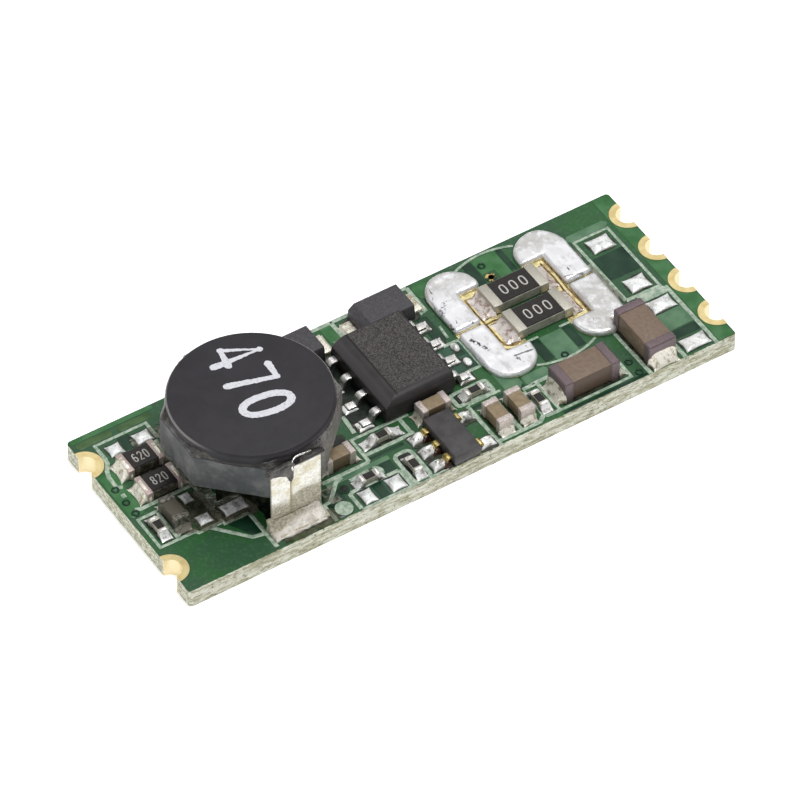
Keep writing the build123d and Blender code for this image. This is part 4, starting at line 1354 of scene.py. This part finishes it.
# Painted highlight: the faces turned to the left above it are painted lighter.
mould.lay((82, 79, 81), (1 - mould.facing("X").rise(-0.6, -0.3)) * (1 - shaded_lower_side) * 0.8)
mould.lay((26, 25, 26), groove * 0.8)
mould.feed("Roughness", speckled * 0.25 + 0.5)
mould.bump(mould_grain * (speckled * 0.9 + 0.1) - groove * 0.8, 0.015)

driver_copy = take_copy("driver_body", "driver_body_eased")
clear_facets()
rim_z = driver_high.z / mm - 0.001
front_top_y = driver_low.y / mm + 0.2
left_top_x = driver_low.x / mm + 0.75
for edge in driver_copy.data.edges:
    ends = [driver_copy.data.vertices[index].co for index in edge.vertices]
    along_front = all(end.y < front_top_y for end in ends)
    along_left = all(end.x < left_top_x for end in ends)
    edge.select = all(end.z > rim_z for end in ends) and (along_front or along_left)
for vertex in driver_copy.data.vertices:
    vertex.select = vertex.co.z > rim_z and (vertex.co.y < front_top_y or vertex.co.x < left_top_x)
for face in driver_copy.data.polygons:
    face.select = False
bpy.ops.object.mode_set(mode="EDIT")
bpy.ops.mesh.select_mode(type="EDGE")
bpy.ops.mesh.bevel(offset=0.26, segments=6, affect="EDGES")
bpy.ops.object.mode_set(mode="OBJECT")
use_modifier(
    driver_copy, "BEVEL", width=0.06, segments=3, limit_method="ANGLE", angle_limit=math.radians(22),
    use_clamp_overlap=True,
)
put_down(driver_copy, "driver_body_eased", mould, ["driver_body"], 30)

tinned_lead = solder_finish("tinned_lead", 0.25, 0.8)
ease_edges("driver_leads", tinned_lead, 0.04)
ease_edges("diode_tabs", cream_solder, 0.04)

# Amplifier
# A small package of dark grey mould compound with a few pits in its smooth top. Its five gold
# plated leads are soldered to the board.
amplifier_mould = Finish("amplifier_mould", roughness=0.48, specular=0.35)
pit = amplifier_mould.cells(0.42)
amplifier_mould.paint((62, 60, 61), (74, 72, 72), amplifier_mould.grain(0.5, 3).rise(0.3, 0.7))
pits = 1 - pit.rise(0.05, 0.1)
amplifier_mould.lay((34, 32, 34), pits * 0.8)
amplifier_mould.bump(1 - pits, 0.02)
ease_edges("amplifier_body", amplifier_mould, 0.04)
lead_gold = two_tone(
    "gold_plated_lead", (216, 196, 126), (140, 118, 66), (0.2, 3), (0.4, 0.65), 0.02,
    roughness=0.35, metallic=0.85,
)
ease_edges("amplifier_leads", lead_gold, 0.025)

# Diodes
# Two flat blocks of black mould compound near the back edge. Their tinned tabs are soldered to
# pads on the board.
diode_mould = two_tone(
    "diode_mould", (66, 64, 67), (80, 78, 81), (0.12, 3, 0.7), (0.35, 0.7), 0.01,
    roughness=0.5, specular=0.35,
)
ease_edges("diode_bodies", diode_mould, 0.06, 3)

# Resistors and links
# Alumina chips with plated ends. The resistive film is under a black glass overcoat that carries
# the value in grey.
alumina = two_tone(
    "alumina", (140, 139, 126), (168, 167, 154), (0.3, 3), (0.3, 0.7), roughness=0.6, specular=0.3,
)
dress("link_ceramics", alumina)
dress("small_resistor_ceramics", alumina)
dirty_alumina = two_tone(
    "flux_stained_alumina", (58, 54, 46), (112, 108, 96), (0.25, 4, 0.65), (0.4, 0.66), 0.02,
    roughness=0.5, specular=0.35,
)
dress("sense_ceramics", dirty_alumina)
overcoat = two_tone(
    "overcoat_glass", (30, 27, 25), (50, 46, 43), (0.08, 3, 0.7), (0.4, 0.75), 0.01,
    roughness=0.4, specular=0.35,
)
for node in ("link_overcoats", "sense_overcoats", "small_resistor_overcoats"):
    ease_edges(node, overcoat, 0.02, 1)


def end_cap_finish(name, light, dark, speckle, soil=0.0):
    """Plated chip ends: a soft metal grey, more or less speckled, with flux dirt at the left end."""
    cap = Finish(name, roughness=0.42, metallic=0.5)
    fine = cap.grain(0.07, 3, 0.8)
    cap.paint(dark, light, fine.rise(0.5 - speckle / 2, 0.5 + speckle / 2))
    crust = cap.mix((70, 68, 60), (134, 132, 122), cap.grain(0.14, 4, 0.75).rise(0.4, 0.6))
    cap.lay(crust, soiled(cap, -12.8) * soil)
    cap.feed("Roughness", fine * 0.3 + 0.25)
    cap.bump(fine, 0.02)
    return cap


link_cap = end_cap_finish("link_end_cap", (200, 196, 184), (168, 163, 150), 0.6)
sense_cap = end_cap_finish("sense_end_cap", (206, 188, 182), (176, 156, 150), 0.6)
small_cap = end_cap_finish("small_end_cap", (222, 212, 206), (168, 152, 145), 0.4, soil=1.0)
power_cap = end_cap_finish("power_end_cap", (124, 109, 112), (98, 85, 88), 0.7)
ease_edges("link_end_caps", link_cap, 0.05)
ease_edges("sense_end_caps", sense_cap, 0.04)
ease_edges("small_resistor_end_caps", link_cap, 0.03)
ease_edges("small_capacitor_end_caps", small_cap, 0.04)
ease_edges("power_capacitor_end_caps", power_cap, 0.13, 4)

# Printed values of the links and the sense resistors
# Small digits, upright as seen from the front edge. They are printed on each black overcoat in
# thin grey ink.
grey_ink = two_tone(
    "grey_print", (140, 136, 130), (190, 186, 180), (0.06, 3, 0.7), (0.3, 0.5), roughness=0.6, specular=0.3,
)


def digit(kind, x, y, width, height):
    """The strokes of one digit around a middle, and whether each closes on itself."""
    right = width / 2
    up = height / 2
    if kind == "0":
        return [(zero_outline(x, y, right, up, steps=18, fullness=0.75), True)]
    if kind == "8":
        return [
            (zero_outline(x, y + up * 0.5, right * 0.85, up * 0.5, steps=12), True),
            (zero_outline(x, y - up * 0.5, right, up * 0.5, steps=12), True),
        ]
    if kind == "6":
        tail = [
            (x + right * 0.8, y + up * 0.72), (x + right * 0.2, y + up), (x - right * 0.7, y + up * 0.75),
            (x - right, y), (x - right, y - up * 0.5),
        ]
        return [(zero_outline(x, y - up * 0.45, right, up * 0.55, steps=12), True), (tail, False)]
    two = [
        (x - right, y + up * 0.6), (x - right * 0.5, y + up), (x + right * 0.6, y + up),
        (x + right, y + up * 0.5), (x + right * 0.5, y), (x - right, y - up), (x + right, y - up),
    ]
    return [(two, False)]


def print_value(name, node, values, width, height, pitch, stroke):
    """Print one value on each overcoat of a node."""
    strokes = []
    closed = []
    ink_bottom = 0
    for value, (low, high) in zip(values, islands(node)):
        middle_x = (low.x + high.x) / 2
        middle_y = (low.y + high.y) / 2
        ink_bottom = high.z
        for place, kind in enumerate(value):
            for points, closes in digit(kind, middle_x + (place - 1) * pitch, middle_y, width, height):
                if closes:
                    closed.append(len(strokes))
                strokes.append(points)
    ink_strokes(name, strokes, stroke, 0.016, ink_bottom - 0.002, grey_ink, closed=closed)


print_value("link_value_print", "link_overcoats", ("000", "000"), 0.27, 0.58, 0.55, 0.075)
print_value("sense_value_print", "sense_overcoats", ("820", "620"), 0.17, 0.5, 0.3, 0.06)

# Ceramic capacitors
# Blocks of fired brown ceramic, two large ones at the output and five small ones. Each is soldered
# to the board by its plated ends.


def ceramic_finish(name, dark, light, front, grain, **surface):
    """Fired ceramic, with painted shade on its front side."""
    ceramic = two_tone(name, dark, light, grain, (0.3, 0.7), specular=0.35, **surface)
    # Painted shade: faces turned to the front take the darker front tone.
    ceramic.lay(front, 1 - ceramic.facing("Y").rise(-0.8, -0.4))
    return ceramic


small_ceramic = ceramic_finish(
    "small_capacitor_ceramic", (130, 112, 88), (146, 130, 104), (104, 90, 70), (0.3, 3), roughness=0.5,
)
small_ceramic.lay((82, 78, 68), soiled(small_ceramic, -12.8))
ease_edges("small_capacitor_bodies", small_ceramic, 0.03)
power_ceramic = ceramic_finish(
    "power_capacitor_ceramic", (114, 97, 83), (126, 109, 94), (88, 72, 60), (0.2, 4, 0.6),
    depth=0.01, roughness=0.45,
)
ease_edges("power_capacitor_bodies", power_ceramic, 0.05)
